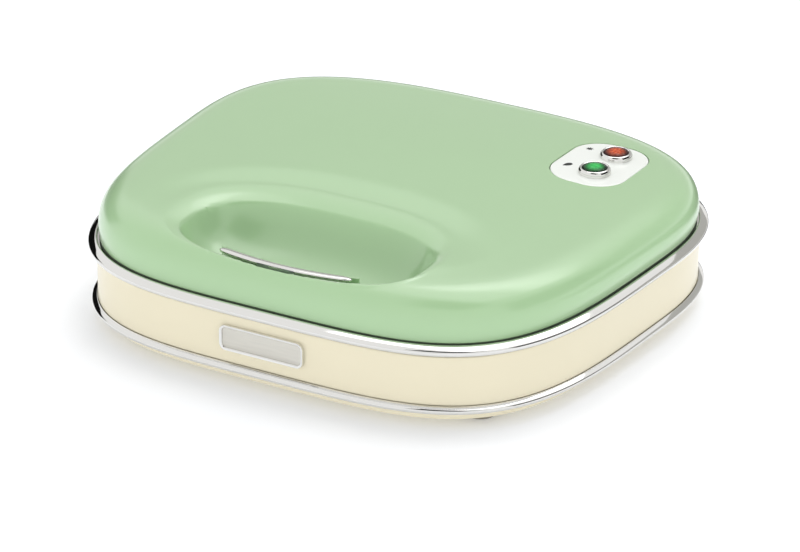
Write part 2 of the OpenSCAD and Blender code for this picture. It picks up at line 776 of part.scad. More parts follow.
module cord_gland() color(BLACK) in_place() difference() {
    union() {
        y_rod(gland_collar_d - 3.4, 0, [rear_block_y - 5, gland_end_y], gland_z);
        y_rod(gland_collar_d, 0, [rear_block_y, gland_end_y], gland_z);
    }
    y_rod(gland_bore_d, 0, [rear_block_y - 6, gland_end_y + 1], gland_z);
}

module hinge_pins() color(STEEL) in_place() mirrored_pair()
    x_rod(hinge_pin_d, [ear_span(-1)[0], ear_span(1)[1]], hinge_y, hinge_z);

// Pieces of the lid

module lamp_opening(grow) {
    translate([panel_x, panel_y, dome_z]) linear_extrude(dome_h + crown_h + 2)
        rounded_rect(panel_w + 2 * grow, panel_d + 2 * grow, panel_r + grow);
}

// Part of the ring between two radii of the latch bar's curve, cut off square at each end
module bar_arc(outer_r, inner_r, half_l, z) {
    intersection() {
        translate([0, bar_centre_y, z[0]]) linear_extrude(z[1] - z[0]) difference() {
            circle(outer_r, $fn = 200);
            circle(inner_r, $fn = 200);
        }
        block([-half_l, half_l], [bar_centre_y - outer_r - 1, bar_centre_y - inner_r + 30], z);
    }
}

module lid_shell() color(GREEN) in_place() {
    difference() {
        union() {
            difference() {
                loft(dome_rings(0, 9, 4));
                loft(concat([at_height(outline(dome_inset + wall), dome_z - 1)],
                            dome_rings(wall, 6, 3)));
            }
            intersection() {
                loft(dome_rings(0, 9, 4));
                loft(scoop_rings(wall));
            }
        }
        loft(scoop_rings(0));
        bar_arc(slot_front_r, slot_rear_r, slot_half_l, [dome_z - 1, dome_top]);
        lamp_opening(0.15);
    }
    latch_well();
    for (p = case_screws)
        translate([p[0], p[1], 0]) lid_boss(lid_cup_z, lid_top_z(p[0], p[1]) - wall);
}

// Wall round the latch bar's slot, between the slot and the recess
module latch_well() {
    z = [dome_z + 2, bar_top - 0.8];
    bar_arc(slot_rear_r, slot_rear_r - wall, slot_half_l, z);
}

// Column for a lid screw, from the liner up to the underside of the shell
module lid_boss(z0, z1) {
    difference() {
        translate([0, 0, z0]) cylinder(d = screw_head_d + 3, h = z1 - z0);
        translate([0, 0, z0 - 1]) cylinder(d = screw_d, h = lid_screw_l + 1);
    }
}

module upper_trim_ring() color(CHROME) in_place() difference() {
    outline_sweep([
        [ring_inset, lid_z],
        [0.2, lid_z],
        [-0.6 * upper_bulge, lid_z + 0.45 * upper_ring_h],
        [-0.92 * upper_bulge, lid_z + 0.68 * upper_ring_h],
        [-upper_bulge, lid_z + 0.78 * upper_ring_h],
        [-0.93 * upper_bulge, lid_z + 0.87 * upper_ring_h],
        [-0.6 * upper_bulge, lid_z + 0.94 * upper_ring_h],
        [0.3, lid_z + upper_ring_h],
        [ring_inset, lid_z + upper_ring_h]
    ]);
    mirrored_pair() block(arm_span(0.4), [rear_d - 12, rear_d + 12], [lid_z - 1, lid_z + arm_t + 0.2]);
}

function arm_span(grow) =
    [knuckle_x - lid_knuckle_w / 2 - grow, knuckle_x + lid_knuckle_w / 2 + grow];

module lid_liner() color(CREAM) in_place() {
    ledge_z = plate_upper[1];
    difference() {
        union() {
            outline_slab(ring_inset, lid_z, wall);
            plate_slab(2 + plate_fit, lid_z, flange_t + wall);
            mirrored_pair() {
                block(arm_span(0), [rear_d - 16, hinge_y], [lid_z, lid_z + arm_t]);
                x_rod(2 * knuckle_r, arm_span(0), hinge_y, hinge_z);
                latch_post();
            }
            for (p = case_screws)
                translate([p[0], p[1], lid_z]) cylinder(d = screw_head_d + 3, h = lid_cup_z - lid_z);
        }
        plate_slab(plate_fit, lid_z - 1, flange_t + 1);
        difference() {
            plate_slab(-ledge_w, lid_z - 1, band_h);
            for (y = plate_screw_y)
                translate([0, y, ledge_z]) block([-tab_w / 2, tab_w / 2], [-5, 5], [0, wall]);
        }
        for (y = plate_screw_y) translate([0, y, lid_z]) cylinder(d = screw_d + 0.3, h = 20);
        for (p = case_screws) translate([p[0], p[1], lid_z - 1]) {
            cylinder(d = screw_d + 0.4, h = 10);
            cylinder(d = screw_head_d + 0.4, h = 1 + lid_seat_z - lid_z);
        }
        block([-hook_half_w - 3, hook_half_w + 3], [window_front, window_rear],
              [lid_z - 1, lid_z + wall + 1]);
        mirrored_pair() x_rod(hinge_pin_d + 2 * bore_fit, arm_span(1), hinge_y, hinge_z);
        x_rod(latch_pin_d, [-pin_half_l - 5, pin_half_l + 5], pivot_y, pivot_z);
    }
}

module latch_post() {
    block([post_x, post_x + post_t], [pivot_y - 2.6, pivot_y + 2.2], [lid_z, pivot_z + 2.6]);
}

module lid_screws() color(STEEL) in_place() for (p = case_screws)
    translate([p[0], p[1], lid_seat_z]) driven_screw(lid_screw_l);

module upper_plate() color(NONSTICK) in_place() translate([0, 0, lid_z]) {
    cast_plate();
    translate([0, plate_y, flange_t]) cylinder(d = 7, h = mound_h - flange_t);
}

module upper_plate_screws() color(STEEL) in_place()
    translate([0, 0, plate_upper[1] + wall]) mirror([0, 0, 1]) plate_screws();

module upper_heating_element() color(STEEL) in_place()
    translate([0, 0, lid_z + mound_h]) mirror([0, 0, 1]) heating_element();

module upper_heat_shield() color(STEEL) in_place()
    translate([0, 0, plate_upper[1] + wall]) heat_shield(shield_reach - flange_t - wall + shield_t);

// Bimetal disc thermostat on the boss in the middle of the plate, with its two tabs
module thermostat() color(BLACK) in_place() translate([0, plate_y, lid_z + mound_h]) {
    cylinder(d = thermostat_d, h = thermostat_h);
    for (side = [-1, 1]) translate([side * 4, 0, thermostat_h])
        translate([-2, -0.4, 0]) cube([4, 0.8, 1.2]);
}

// White panel set flush into the lid's crown, with a seat for each lamp
module lamp_panel() color(WHITE) in_place() difference() {
    intersection() {
        lamp_opening(0);
        difference() {
            loft(dome_rings(0, 9, 4));
            loft(concat([at_height(outline(dome_inset + wall + 0.6), dome_z - 1)],
                        dome_rings(wall + 0.6, 6, 3)));
        }
    }
    for (i = [0, 1]) translate([lamp_x, lamp_y[i], 0]) {
        translate([0, 0, lamp_seat[i]]) cylinder(d = bezel_d, h = 10);
        cylinder(d = lens_d + 2 * bezel_wall, h = dome_top);
    }
}

// Domed metal collar round a lamp
module lamp_bezels() color(CHROME) in_place() for (i = [0, 1])
    translate([lamp_x, lamp_y[i], lamp_seat[i]]) rotate_extrude() polygon([
        [lens_d / 2, -bezel_neck], [lens_d / 2 + bezel_wall, -bezel_neck],
        [lens_d / 2 + bezel_wall, 0], [bezel_d / 2, 0],
        [bezel_d / 2, 1], [bezel_d / 2 - 0.35, 0.4 * bezel_h + 0.8],
        [bezel_d / 2 - 0.9, 0.75 * bezel_h + 0.8], [lens_d / 2 + 0.6, bezel_h + 0.8],
        [lens_d / 2, bezel_h + 0.6]
    ]);

module lens(i) translate([lamp_x, lamp_y[i], lamp_seat[i]]) rotate_extrude() polygon(concat(
    [[0, -1.6], [lens_d / 2, -1.6], [lens_d / 2, bezel_h]],
    [for (a = [15:15:90]) [lens_d / 2 * cos(a), bezel_h + 1.6 * sin(a)]]
));

module red_lens() color("#C8391C") in_place() lens(1);

module green_lens() color("#1F9E49") in_place() lens(0);

// Neon lamp bodies pushed up into the bezels
module lamp_holders() color(BLACK) in_place() for (i = [0, 1])
    translate([lamp_x, lamp_y[i], lamp_seat[i] - 1.6]) {
        translate([0, 0, -holder_h]) cylinder(d = lens_d - 2.4, h = holder_h);
        translate([0, 0, -1.8]) cylinder(d = lens_d, h = 1.8);
        for (side = [-1, 1])
            translate([side * 2.2, 0, -holder_h - 0.5]) cube([0.8, 2.4, 1.2], center = true);
    }

module latch_pin() color(STEEL) in_place()
    x_rod(latch_pin_d, [-pin_half_l, pin_half_l], pivot_y, pivot_z);

// Return spring: a coil round the pin, one leg on the liner and one behind the bar
function spring_angle(i) = 360 * i / spring_steps;
function spring_centre(i) = [
    spring_x + spring_pitch * i / spring_steps,
    pivot_y + spring_r * cos(spring_angle(i)),
    pivot_z + spring_r * sin(spring_angle(i))
];
function spring_side(i, a) = spring_centre(i) + spring_wire / 2 * [
    sin(a), cos(a) * cos(spring_angle(i)), cos(a) * sin(spring_angle(i))
];

module latch_spring() color(STEEL) in_place() {
    loft([for (i = [0:spring_count]) [for (k = [0:spring_sides - 1])
        spring_side(i, -360 * k / spring_sides)]]);
    first = spring_centre(0);
    last = spring_centre(spring_count);
    translate([first[0], first[1], first[2]])
        cylinder(d = spring_wire, h = bar_top - bar_t - 0.3 - first[2]);
    translate([last[0], last[1], lid_z + wall]) cylinder(d = spring_wire, h = last[2] - lid_z - wall);
}

// Latch

module latch_lever() color(CHROME) in_place() difference() {
    union() {
        bar_arc(bar_front_r, bar_front_r - bar_w, bar_half_l, [bar_top - bar_t, bar_top]);
        block([-web_half_w, web_half_w], [pivot_y - 1.2, pivot_y + 1.2], [pivot_z, bar_top - 0.5]);
        x_rod(latch_pin_d + 2.4, [-web_half_w, web_half_w], pivot_y, pivot_z);
        block([-hook_half_w, hook_half_w], [hook_front, hook_front + hook_t], [hook_bottom, pivot_z]);
        translate([-hook_half_w, 0, 0]) rotate([90, 0, 90]) linear_extrude(2 * hook_half_w)
            polygon([
                [hook_front, hook_bottom], [hook_front, hook_nose_top],
                [keeper_edge - hook_bite, hook_nose_top],
                [keeper_edge - hook_bite, hook_nose_top - 1]
            ]);
    }
    x_rod(latch_pin_d + 2 * bore_fit, [-web_half_w - 1, web_half_w + 1], pivot_y, pivot_z);
}

base_pan();
lower_trim_ring();
base_housing();
badge_frame();
badge_panel();
feet();
base_screws();
lower_plate();
lower_plate_screws();
lower_heating_element();
lower_heat_shield();
thermal_fuse();
terminal_block();
latch_keeper();
rear_housing();
rear_housing_screws();
cord_gland();
hinge_pins();
lid_shell();
upper_trim_ring();
lid_liner();
lid_screws();
upper_plate();
upper_plate_screws();
upper_heating_element();
upper_heat_shield();
thermostat();
lamp_panel();
lamp_bezels();
red_lens();
green_lens();
lamp_holders();
latch_pin();
latch_spring();
latch_lever();
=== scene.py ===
"""Looks of a two-slice sandwich toaster: a cream base and a domed pastel-green lid, built round the
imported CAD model."""

import math

import bpy
import numpy as np
from mathutils import Matrix, Vector
from mathutils.geometry import tessellate_polygon


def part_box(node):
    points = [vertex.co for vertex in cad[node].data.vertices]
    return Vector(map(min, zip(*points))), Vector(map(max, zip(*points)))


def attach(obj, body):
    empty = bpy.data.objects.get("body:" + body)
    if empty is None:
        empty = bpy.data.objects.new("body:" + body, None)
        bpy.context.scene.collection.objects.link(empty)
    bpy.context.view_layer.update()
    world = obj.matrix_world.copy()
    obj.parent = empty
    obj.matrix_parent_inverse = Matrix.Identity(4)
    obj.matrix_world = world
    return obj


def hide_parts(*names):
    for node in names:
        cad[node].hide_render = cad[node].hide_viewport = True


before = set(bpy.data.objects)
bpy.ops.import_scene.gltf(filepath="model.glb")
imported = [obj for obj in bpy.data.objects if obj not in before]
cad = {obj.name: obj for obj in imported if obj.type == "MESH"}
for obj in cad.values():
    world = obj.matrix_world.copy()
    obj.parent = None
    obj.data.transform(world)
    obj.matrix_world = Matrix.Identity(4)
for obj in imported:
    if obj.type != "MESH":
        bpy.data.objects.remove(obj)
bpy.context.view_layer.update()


# Studio
# A pale seamless table under broad soft light. The camera stands to the right of the front, a
# little above it, far away behind a long lens.

BODY_Y = 5.25          # the body's own middle line lies this far behind the frame's origin, in mm
VIEW_AZIMUTH, VIEW_ELEVATION, VIEW_ROLL = 29.47, 24.99, 0.30
VIEW_DISTANCE = 1.9538
VIEW_SHIFT = (-0.00459, -0.02647)
VIEW_TARGET = Vector((0, BODY_Y / 1000, 0.0348))
FOCAL_PIXELS, FRAME_PIXELS, SENSOR_MM = 4223, 800, 36


def aim_camera():
    """A camera on a sphere about the target. Azimuth 0 looks along +Y, and roll turns it about its axis."""
    az, el, roll = (math.radians(a) for a in (VIEW_AZIMUTH, VIEW_ELEVATION, VIEW_ROLL))
    back = Vector((math.sin(az) * math.cos(el), -math.cos(az) * math.cos(el), math.sin(el)))
    right = Vector((math.cos(az), math.sin(az), 0))
    up = back.cross(right)
    x_axis = math.cos(roll) * right + math.sin(roll) * up
    y_axis = -math.sin(roll) * right + math.cos(roll) * up
    place = VIEW_TARGET + back * VIEW_DISTANCE + right * VIEW_SHIFT[0] + up * VIEW_SHIFT[1]
    camera = bpy.data.objects.new("camera", bpy.data.cameras.new("camera"))
    camera.data.sensor_width = SENSOR_MM
    camera.data.lens = FOCAL_PIXELS / FRAME_PIXELS * SENSOR_MM
    camera.data.clip_end = 20
    camera.matrix_world = Matrix.Translation(place) @ Matrix((x_axis, y_axis, back)).transposed().to_4x4()
    bpy.context.scene.collection.objects.link(camera)
    bpy.context.scene.camera = camera


def linear(hex_colour):
    """An sRGB hex colour as linear RGBA."""
    s = np.array([int(hex_colour[i:i + 2], 16) for i in (1, 3, 5)]) / 255
    return (*np.where(s <= 0.04045, s / 12.92, ((s + 0.055) / 1.055) ** 2.4), 1.0)


def add_node(tree, kind, settings=(), links=()):
    """Adds one shader node. A setting names an input or, failing that, a property; a link names an input
    and the socket that feeds it."""
    made = tree.nodes.new(kind)
    for name, value in dict(settings).items():
        if isinstance(name, int) or name in made.inputs:
            made.inputs[name].default_value = value
        else:
            setattr(made, name, value)
    for name, socket in dict(links).items():
        tree.links.new(socket, made.inputs[name])
    return made


def empty_tree(owner, output):
    """Clears the node tree of a material or world and gives it one output node."""
    owner.use_nodes = True
    owner.node_tree.nodes.clear()
    return owner.node_tree, owner.node_tree.nodes.new(output)


def new_material(name):
    """A material, its empty tree and its output node."""
    finish = bpy.data.materials.new(name)
    return finish, *empty_tree(finish, "ShaderNodeOutputMaterial")


def seen_directly(tree):
    """1 for rays from the camera, a mirror or through glass, and 0 for the rays that light the object."""
    path = add_node(tree, "ShaderNodeLightPath")
    either = add_node(tree, "ShaderNodeMath", {"operation": "MAXIMUM"},
                      {0: path.outputs["Is Camera Ray"], 1: path.outputs["Is Glossy Ray"]})
    return add_node(tree, "ShaderNodeMath", {"operation": "MAXIMUM"},
                    {0: either.outputs[0], 1: path.outputs["Is Transmission Ray"]}).outputs[0]


def white_world(overhead, tilt, low_front):
    """A world that is white where it is seen. Its light is stronger behind the object and along the
    horizon in front: overhead (1 + tilt y) + low_front (1 - z)^5 (1 - y)."""
    world = bpy.data.worlds.new("studio")
    tree, out = empty_tree(world, "ShaderNodeOutputWorld")
    direction = add_node(tree, "ShaderNodeTexCoord").outputs["Generated"]
    split = add_node(tree, "ShaderNodeSeparateXYZ", (), {0: direction})
    low = add_node(tree, "ShaderNodeMath", {"operation": "SUBTRACT", 0: 1.0}, {1: split.outputs["Z"]})
    band = add_node(tree, "ShaderNodeMath", {"operation": "POWER", 1: 5.0}, {0: low.outputs[0]})
    front = add_node(tree, "ShaderNodeMath", {"operation": "SUBTRACT", 0: 1.0}, {1: split.outputs["Y"]})
    both = add_node(tree, "ShaderNodeMath", {"operation": "MULTIPLY"},
                    {0: band.outputs[0], 1: front.outputs[0]})
    sloped = add_node(tree, "ShaderNodeMath", {"operation": "MULTIPLY_ADD", 1: overhead * tilt, 2: overhead},
                      {0: split.outputs["Y"]})
    light = add_node(tree, "ShaderNodeMath", {"operation": "MULTIPLY_ADD", 1: low_front},
                     {0: both.outputs[0], 2: sloped.outputs[0]})
    strength = add_node(tree, "ShaderNodeMix", {"B": 1.0},
                        {"Factor": seen_directly(tree), "A": light.outputs[0]})
    sky = add_node(tree, "ShaderNodeBackground", {"Color": linear("#FFFFFF")},
                   {"Strength": strength.outputs["Result"]})
    tree.links.new(sky.outputs[0], out.inputs["Surface"])
    bpy.context.scene.world = world


def table_top(half_width, lift, lift_seen):
    """A white light table: matt, and lit a little from below, so it ends in white but keeps its shadows."""
    mesh = bpy.data.meshes.new("table_top")
    h = half_width
    mesh.from_pydata([(-h, -h, 0), (h, -h, 0), (h, h, 0), (-h, h, 0)], [], [(0, 1, 2, 3)])
    table = bpy.data.objects.new("table_top", mesh)
    bpy.context.scene.collection.objects.link(table)
    finish, tree, out = new_material("matt_white_table")
    matt = add_node(tree, "ShaderNodeBsdfDiffuse", {"Color": linear("#F0F2F6")})
    strength = add_node(tree, "ShaderNodeMix", {"A": lift, "B": lift_seen}, {"Factor": seen_directly(tree)})
    glow = add_node(tree, "ShaderNodeEmission", {"Color": linear("#FFFFFF")},
                    {"Strength": strength.outputs["Result"]})
    both = add_node(tree, "ShaderNodeAddShader", (), {0: matt.outputs[0], 1: glow.outputs[0]})
    tree.links.new(both.outputs[0], out.inputs["Surface"])
    mesh.materials.append(finish)


def soft_box(name, place, size, watts):
    """A square area light that faces the middle of the object."""
    lamp = bpy.data.lights.new(name, "AREA")
    lamp.shape, lamp.size, lamp.energy = "SQUARE", size, watts
    holder = bpy.data.objects.new(name, lamp)
    aim = (-Vector(place)).to_track_quat("-Z", "Y").to_matrix().to_4x4()
    holder.matrix_world = Matrix.Translation(place) @ aim
    bpy.context.scene.collection.objects.link(holder)


def card(name, low, high, colour, glow=0.0):
    """A rectangle between two opposite corners that only glossy surfaces see: a dark one draws the lines
    along the bright trim, and one that glows gives the shoulders their sheen."""
    along = next(k for k in range(3) if low[k] != high[k])
    second, fourth = list(low), list(high)
    second[along], fourth[along] = high[along], low[along]
    mesh = bpy.data.meshes.new(name)
    mesh.from_pydata([low, second, high, fourth], [], [(0, 1, 2, 3)])
    sheet = bpy.data.objects.new(name, mesh)
    bpy.context.scene.collection.objects.link(sheet)
    finish, tree, out = new_material("felt_" + name)
    felt = add_node(tree, "ShaderNodeBsdfDiffuse", {"Color": linear(colour)})
    light = add_node(tree, "ShaderNodeEmission", {"Color": linear("#FFFFFF"), "Strength": glow})
    both = add_node(tree, "ShaderNodeAddShader", (), {0: felt.outputs[0], 1: light.outputs[0]})
    tree.links.new(both.outputs[0], out.inputs["Surface"])
    mesh.materials.append(finish)
    sheet.visible_camera = sheet.visible_diffuse = sheet.visible_shadow = False
    sheet.visible_transmission = sheet.visible_volume_scatter = False


aim_camera()
bpy.context.scene.view_settings.view_transform = "Standard"
white_world(0.73, 0.30, 1.55)
table_top(4.0, 0.33, 0.18)
soft_box("overhead_box", (0.05, 0.45, 1.30), 1.3, 8.5)
card("overhead_card", (-0.55, -0.15, 1.25), (0.65, 1.0, 1.25), "#101010", 1.9)
card("rear_card", (-1.6, 1.5, 0.28), (1.6, 1.5, 1.10), "#55554E", 0.38)
card("rear_floor_card", (-1.6, 0.19, 0.004), (1.6, 1.5, 0.004), "#55554E")
card("left_card", (-1.6, 0.0, 0.05), (-1.6, 1.5, 0.80), "#101010")
card("right_card", (1.4, -0.3, 0.30), (1.4, 1.5, 1.30), "#101010")
card("front_card", (-0.05, -1.2, 1.2), (0.95, -0.32, 1.2), "#101010")


# Bottom pan
# A moulded cream tray that closes the base. Only its rounded edge shows under the lower ring;
# the skin here smooths that edge over the CAD tray, which keeps its floor, holes and screw cups.

HALF_W, FRONT_D, REAR_D = 127, 130, 100
FRONT_POWER, REAR_POWER, TAPER = 3.8, 2.9, 0.058
PAN_Z, LOWER_RING_Z, BAND_Z = (1000 * z for z in (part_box("base_pan")[0].z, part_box("lower_trim_ring")[0].z,
                                                 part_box("base_housing")[0].z))
SKIN = 0.04            # how far a skin stands proud of the CAD face it covers, in mm
SHARP_BEND = math.radians(40)    # an edge that bends more than this stays hard


def outline(angle):
    """Plan of the body: in polar form r = (|cos|^n + |sin|^n)^(-1/n), stretched to the half width and
    depth, and widened to the rear."""
    c, s = np.cos(angle), np.sin(angle)
    n = np.where(s < 0, FRONT_POWER, REAR_POWER)
    r = (np.abs(c) ** n + np.abs(s) ** n) ** (-1 / n)
    y = np.where(s < 0, FRONT_D, REAR_D) * s * r
    return np.stack([HALF_W * c * r * (1 + TAPER * y / HALF_W), y], -1)


def spread(curve, count, weight=None):
    """Points on a closed curve, spaced evenly by its length, or closer where weight is high, with their
    outward normals."""
    around = np.linspace(0, 2 * math.pi, 6001)
    points = curve(around)
    steps = np.linalg.norm(np.diff(points, axis=0), axis=1)
    if weight is not None:
        steps = steps * weight((points[1:] + points[:-1]) / 2)
    length = np.concatenate([[0], np.cumsum(steps)])
    at = np.interp(np.arange(count) / count * length[-1], length, around)
    tangent = curve(at + 1e-3) - curve(at - 1e-3)
    tangent /= np.linalg.norm(tangent, axis=1)[:, None]
    return curve(at), np.stack([tangent[:, 1], -tangent[:, 0]], -1)


def soft_corners(points, steps=6):
    """A smooth open profile: each inner point pulls a parabola between the middles of its two sides."""
    p = np.asarray(points, float)
    starts = np.vstack([p[:1], (p[1:-2] + p[2:-1]) / 2])
    ends = np.vstack([(p[1:-2] + p[2:-1]) / 2, p[-1:]])
    t = np.linspace(0, 1, steps + 1)[:-1, None]
    arcs = [a * (1 - t) ** 2 + 2 * b * t * (1 - t) + c * t ** 2 for a, b, c in zip(starts, p[1:-1], ends)]
    return np.vstack(arcs + [p[-1:]])


def surface(name, points, wrap_rows=False, wrap_columns=False, pole=None):
    """A mesh from a grid of points in mm, given as rows of points in the body's own place. It can close
    round either way, and end in a pole after its last row."""
    rows, columns = points.shape[:2]
    i = np.arange(rows if wrap_rows else rows - 1)[:, None]
    j = np.arange(columns if wrap_columns else columns - 1)[None, :]
    i2, j2 = (i + 1) % rows, (j + 1) % columns
    faces = np.stack([i * columns + j, i * columns + j2, i2 * columns + j2, i2 * columns + j], -1)
    polygons = faces.reshape(-1, 4).tolist()
    vertices = points.reshape(-1, 3)
    if pole is not None:
        last = (rows - 1) * columns
        polygons += [[last + a, last + (a + 1) % columns, len(vertices)] for a in range(columns)]
        vertices = np.vstack([vertices, pole])
    return finish_mesh(name, vertices, polygons)


def finish_mesh(name, vertices, polygons):
    """Makes the object: millimetres become metres, the body's place becomes the frame's, and only sharp
    bends keep a hard edge."""
    mesh = bpy.data.meshes.new(name)
    placed = (np.asarray(vertices, float) + (0, BODY_Y, 0)) / 1000
    mesh.from_pydata(placed.tolist(), [], polygons)
    mesh.validate()
    mesh.polygons.foreach_set("use_smooth", [True] * len(mesh.polygons))
    mesh.set_sharp_from_angle(angle=SHARP_BEND)
    piece = bpy.data.objects.new(name, mesh)
    bpy.context.scene.collection.objects.link(piece)
    return piece


def carried_round(name, profile, count=720):
    """A closed profile of (inset, height) points carried round the body's outline."""
    points, normals = spread(outline, count)
    p = np.asarray(profile, float)
    plan = points[:, None, :] - p[None, :, :1] * normals[:, None, :]
    height = np.broadcast_to(p[None, :, 1:], (count, len(p), 1))
    return surface(name, np.concatenate([plan, height], -1), wrap_rows=True, wrap_columns=True)


def dress(piece, finish, body, slot, *nodes):
    """Gives a new piece its finish and the body it rides on, and hides the CAD nodes it stands for. The slot
    is not used.
    """
    piece.data.materials.append(finish)
    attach(piece, body)
    if nodes:
        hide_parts(*nodes)
    return piece


def refinish(finish, *names):
    """Gives CAD nodes a finish in place of their flat one."""
    for name in names:
        cad[name].data.materials.clear()
        cad[name].data.materials.append(finish)


def noise(tree, place, scale, detail):
    """A noise between 0 and 1, with so many cells a metre."""
    grain = add_node(tree, "ShaderNodeTexNoise", {"Scale": scale, "Detail": detail}, {"Vector": place})
    return grain.outputs["Fac"]


def bumped(tree, height, strength, metres):
    """The normal of a surface whose relief follows a height between 0 and 1."""
    bump = add_node(tree, "ShaderNodeBump", {"Strength": strength, "Distance": metres}, {"Height": height})
    return bump.outputs[0]


def moulded_plastic(name, colour, roughness, coat, mottle=0.02, grain_mm=1.6, relief=0.02):
    """Glossy injection-moulded ABS: an even colour with a faint mottle, and the slight ripple that a
    polished mould leaves."""
    finish, tree, out = new_material(name)
    place = add_node(tree, "ShaderNodeTexCoord").outputs["Object"]
    base = linear(colour)
    darker = tuple(c * (1 - mottle) for c in base[:3]) + (1,)
    shade = add_node(tree, "ShaderNodeMix", {"data_type": "RGBA", 6: darker, 7: base},
                     {"Factor": noise(tree, place, 45, 3)})
    ripple = bumped(tree, noise(tree, place, 1000 / grain_mm, 1), relief, 0.0003)
    shader = add_node(tree, "ShaderNodeBsdfPrincipled",
                      {"Roughness": roughness, "IOR": 1.49, "Coat Weight": coat, "Coat Roughness": 0.15},
                      {"Base Color": shade.outputs[2], "Normal": ripple})
    tree.links.new(shader.outputs[0], out.inputs["Surface"])
    return finish


cream = moulded_plastic("cream_abs", "#DED6BB", 0.28, 0.2)
pan_edge = carried_round("pan_edge", np.vstack([
    soft_corners([(4.9, PAN_Z + 0.01), (3.4, PAN_Z + 0.25), (2.3, PAN_Z + 1.7), (1.55, LOWER_RING_Z - 0.02)]),
    [(1.95, LOWER_RING_Z - 0.02), (2.65, PAN_Z + 2), (4.9, PAN_Z + 0.3)]]))
dress(pan_edge, cream, "base", "cream_plastic")
refinish(cream, "base_pan", "rear_housing", "lid_liner", "base_housing")


# Feet
# Four grey rubber buttons, each with a stem pressed through the pan's floor.

def rubber(name, colour):
    """Moulded rubber: nearly matt, with the fine grain of a spark-eroded mould, 0.4 mm across."""
    finish, tree, out = new_material(name)
    place = add_node(tree, "ShaderNodeTexCoord").outputs["Object"]
    shader = add_node(tree, "ShaderNodeBsdfPrincipled",
                      {"Base Color": linear(colour), "Roughness": 0.7, "IOR": 1.52},
                      {"Normal": bumped(tree, noise(tree, place, 2500, 2), 0.3, 0.0001)})
    tree.links.new(shader.outputs[0], out.inputs["Surface"])
    return finish


refinish(rubber("grey_rubber", "#827D70"), "feet")
refinish(rubber("black_rubber", "#1B1B1C"), "cord_gland")


# Lower trim ring
# A chromed ABS ring clamped between pan and band. Its lip turns down and out: the wide underside
# mirrors the table, and a bevel above it mirrors the sky.

RING_STAND_IN = 2.4
LOWER_RING_H, LOWER_BULGE = 4.6, 3


def metal(name, colour, roughness, unevenness, scale, stretch=(1, 1, 1), relief=0.0, darkest=0.9):
    """A bare or plated metal: its roughness and colour vary a little along a noise of the given scale
    per metre, which a stretch turns into brush lines."""
    finish, tree, out = new_material(name)
    place = add_node(tree, "ShaderNodeTexCoord").outputs["Object"]
    along = add_node(tree, "ShaderNodeMapping", {"Scale": stretch}, {"Vector": place})
    grain = noise(tree, along.outputs[0], scale, 3)
    rough = add_node(tree, "ShaderNodeMapRange", {"To Min": roughness, "To Max": roughness + unevenness},
                     {"Value": grain})
    light = linear(colour)
    dark = tuple(c * darkest for c in light[:3]) + (1,)
    shade = add_node(tree, "ShaderNodeMix", {"data_type": "RGBA", 6: dark, 7: light}, {"Factor": grain})
    links = {"Base Color": shade.outputs[2], "Roughness": rough.outputs[0]}
    if relief:
        links["Normal"] = bumped(tree, grain, relief, 0.00005)
    shader = add_node(tree, "ShaderNodeBsdfPrincipled", {"Metallic": 1.0}, links)
    tree.links.new(shader.outputs[0], out.inputs["Surface"])
    return finish


# Bright chromium over a polished moulding: nearly a mirror, with a cloudiness too faint to see as spots
chrome = metal("chromed_abs", "#E4E3E0", 0.03, 0.03, 60, darkest=0.97)


def ring_profile(z, height, bulge, stand_in, shoulders, groove):
    """Closed section of a trim ring: shoulders are (share of the bulge, share of the height) of its
    outer lip, and behind the lip a groove runs round at the foot of the next piece."""
    lip = [(-out * bulge, z + up * height) for out, up in shoulders]
    top = z + height
    edge = soft_corners([(0.35, z)] + lip + [(groove, top - 0.15), (groove, top - 1)], 8)
    return np.vstack([edge, [(groove, top - 1.6), (stand_in, top - 1.6), (stand_in, z)]])


RING_LIP = [(0.74, 0.235), (0.86, 0.30), (1.0, 0.52), (0.97, 0.64), (0.85, 0.74), (0.22, 0.985)]
lower_ring = carried_round("lower_ring", ring_profile(
    LOWER_RING_Z, LOWER_RING_H, LOWER_BULGE, RING_STAND_IN, RING_LIP, -0.25))
dress(lower_ring, chrome, "base", "chrome", "lower_trim_ring")


# Cream band
# The base's moulded wall. A skin over the CAD wall makes its face one smooth curve and rounds its
# top edge, where the lid's ring comes down on it.

BAND_TOP = BAND_Z + 23
band_face = carried_round("band_face", np.vstack([
    [(-SKIN, BAND_Z + 0.02)],
    [(-SKIN, BAND_TOP - 1)],
    soft_corners([(-SKIN, BAND_TOP - 0.6), (-SKIN, BAND_TOP + SKIN), (0.7, BAND_TOP + SKIN)], 8),
    [(1.4, BAND_TOP + SKIN)],
    [(1.6, BAND_TOP - 0.3), (0.5, BAND_TOP - 0.8), (0.5, BAND_Z + 0.02)]]))
dress(band_face, cream, "base", "cream_plastic")


# Badge
# A small plaque on the front of the band: a chromed rim with a rolled edge round a field of
# brushed metal. The field is left plain.

BADGE_W, BADGE_H, BADGE_T, BADGE_R, BADGE_RIM = 43, 12.4, 1.7, 3.4, 1.4
BADGE_X, BADGE_Z = -1.2, BAND_TOP - 10.8


def round_corner_loop(width, depth, radius, per_corner=12):
    """Points round a rounded rectangle, counter-clockwise, with their outward normals."""
    a = np.concatenate([np.linspace(q, q + 1, per_corner) for q in range(4)]) * math.pi / 2
    normals = np.stack([np.cos(a), np.sin(a)], -1)
    side = np.repeat(np.arange(4), per_corner)
    centres = np.stack([np.array([1, -1, -1, 1])[side] * (width / 2 - radius),
                        np.array([1, 1, -1, -1])[side] * (depth / 2 - radius)], -1)
    return centres + radius * normals, normals


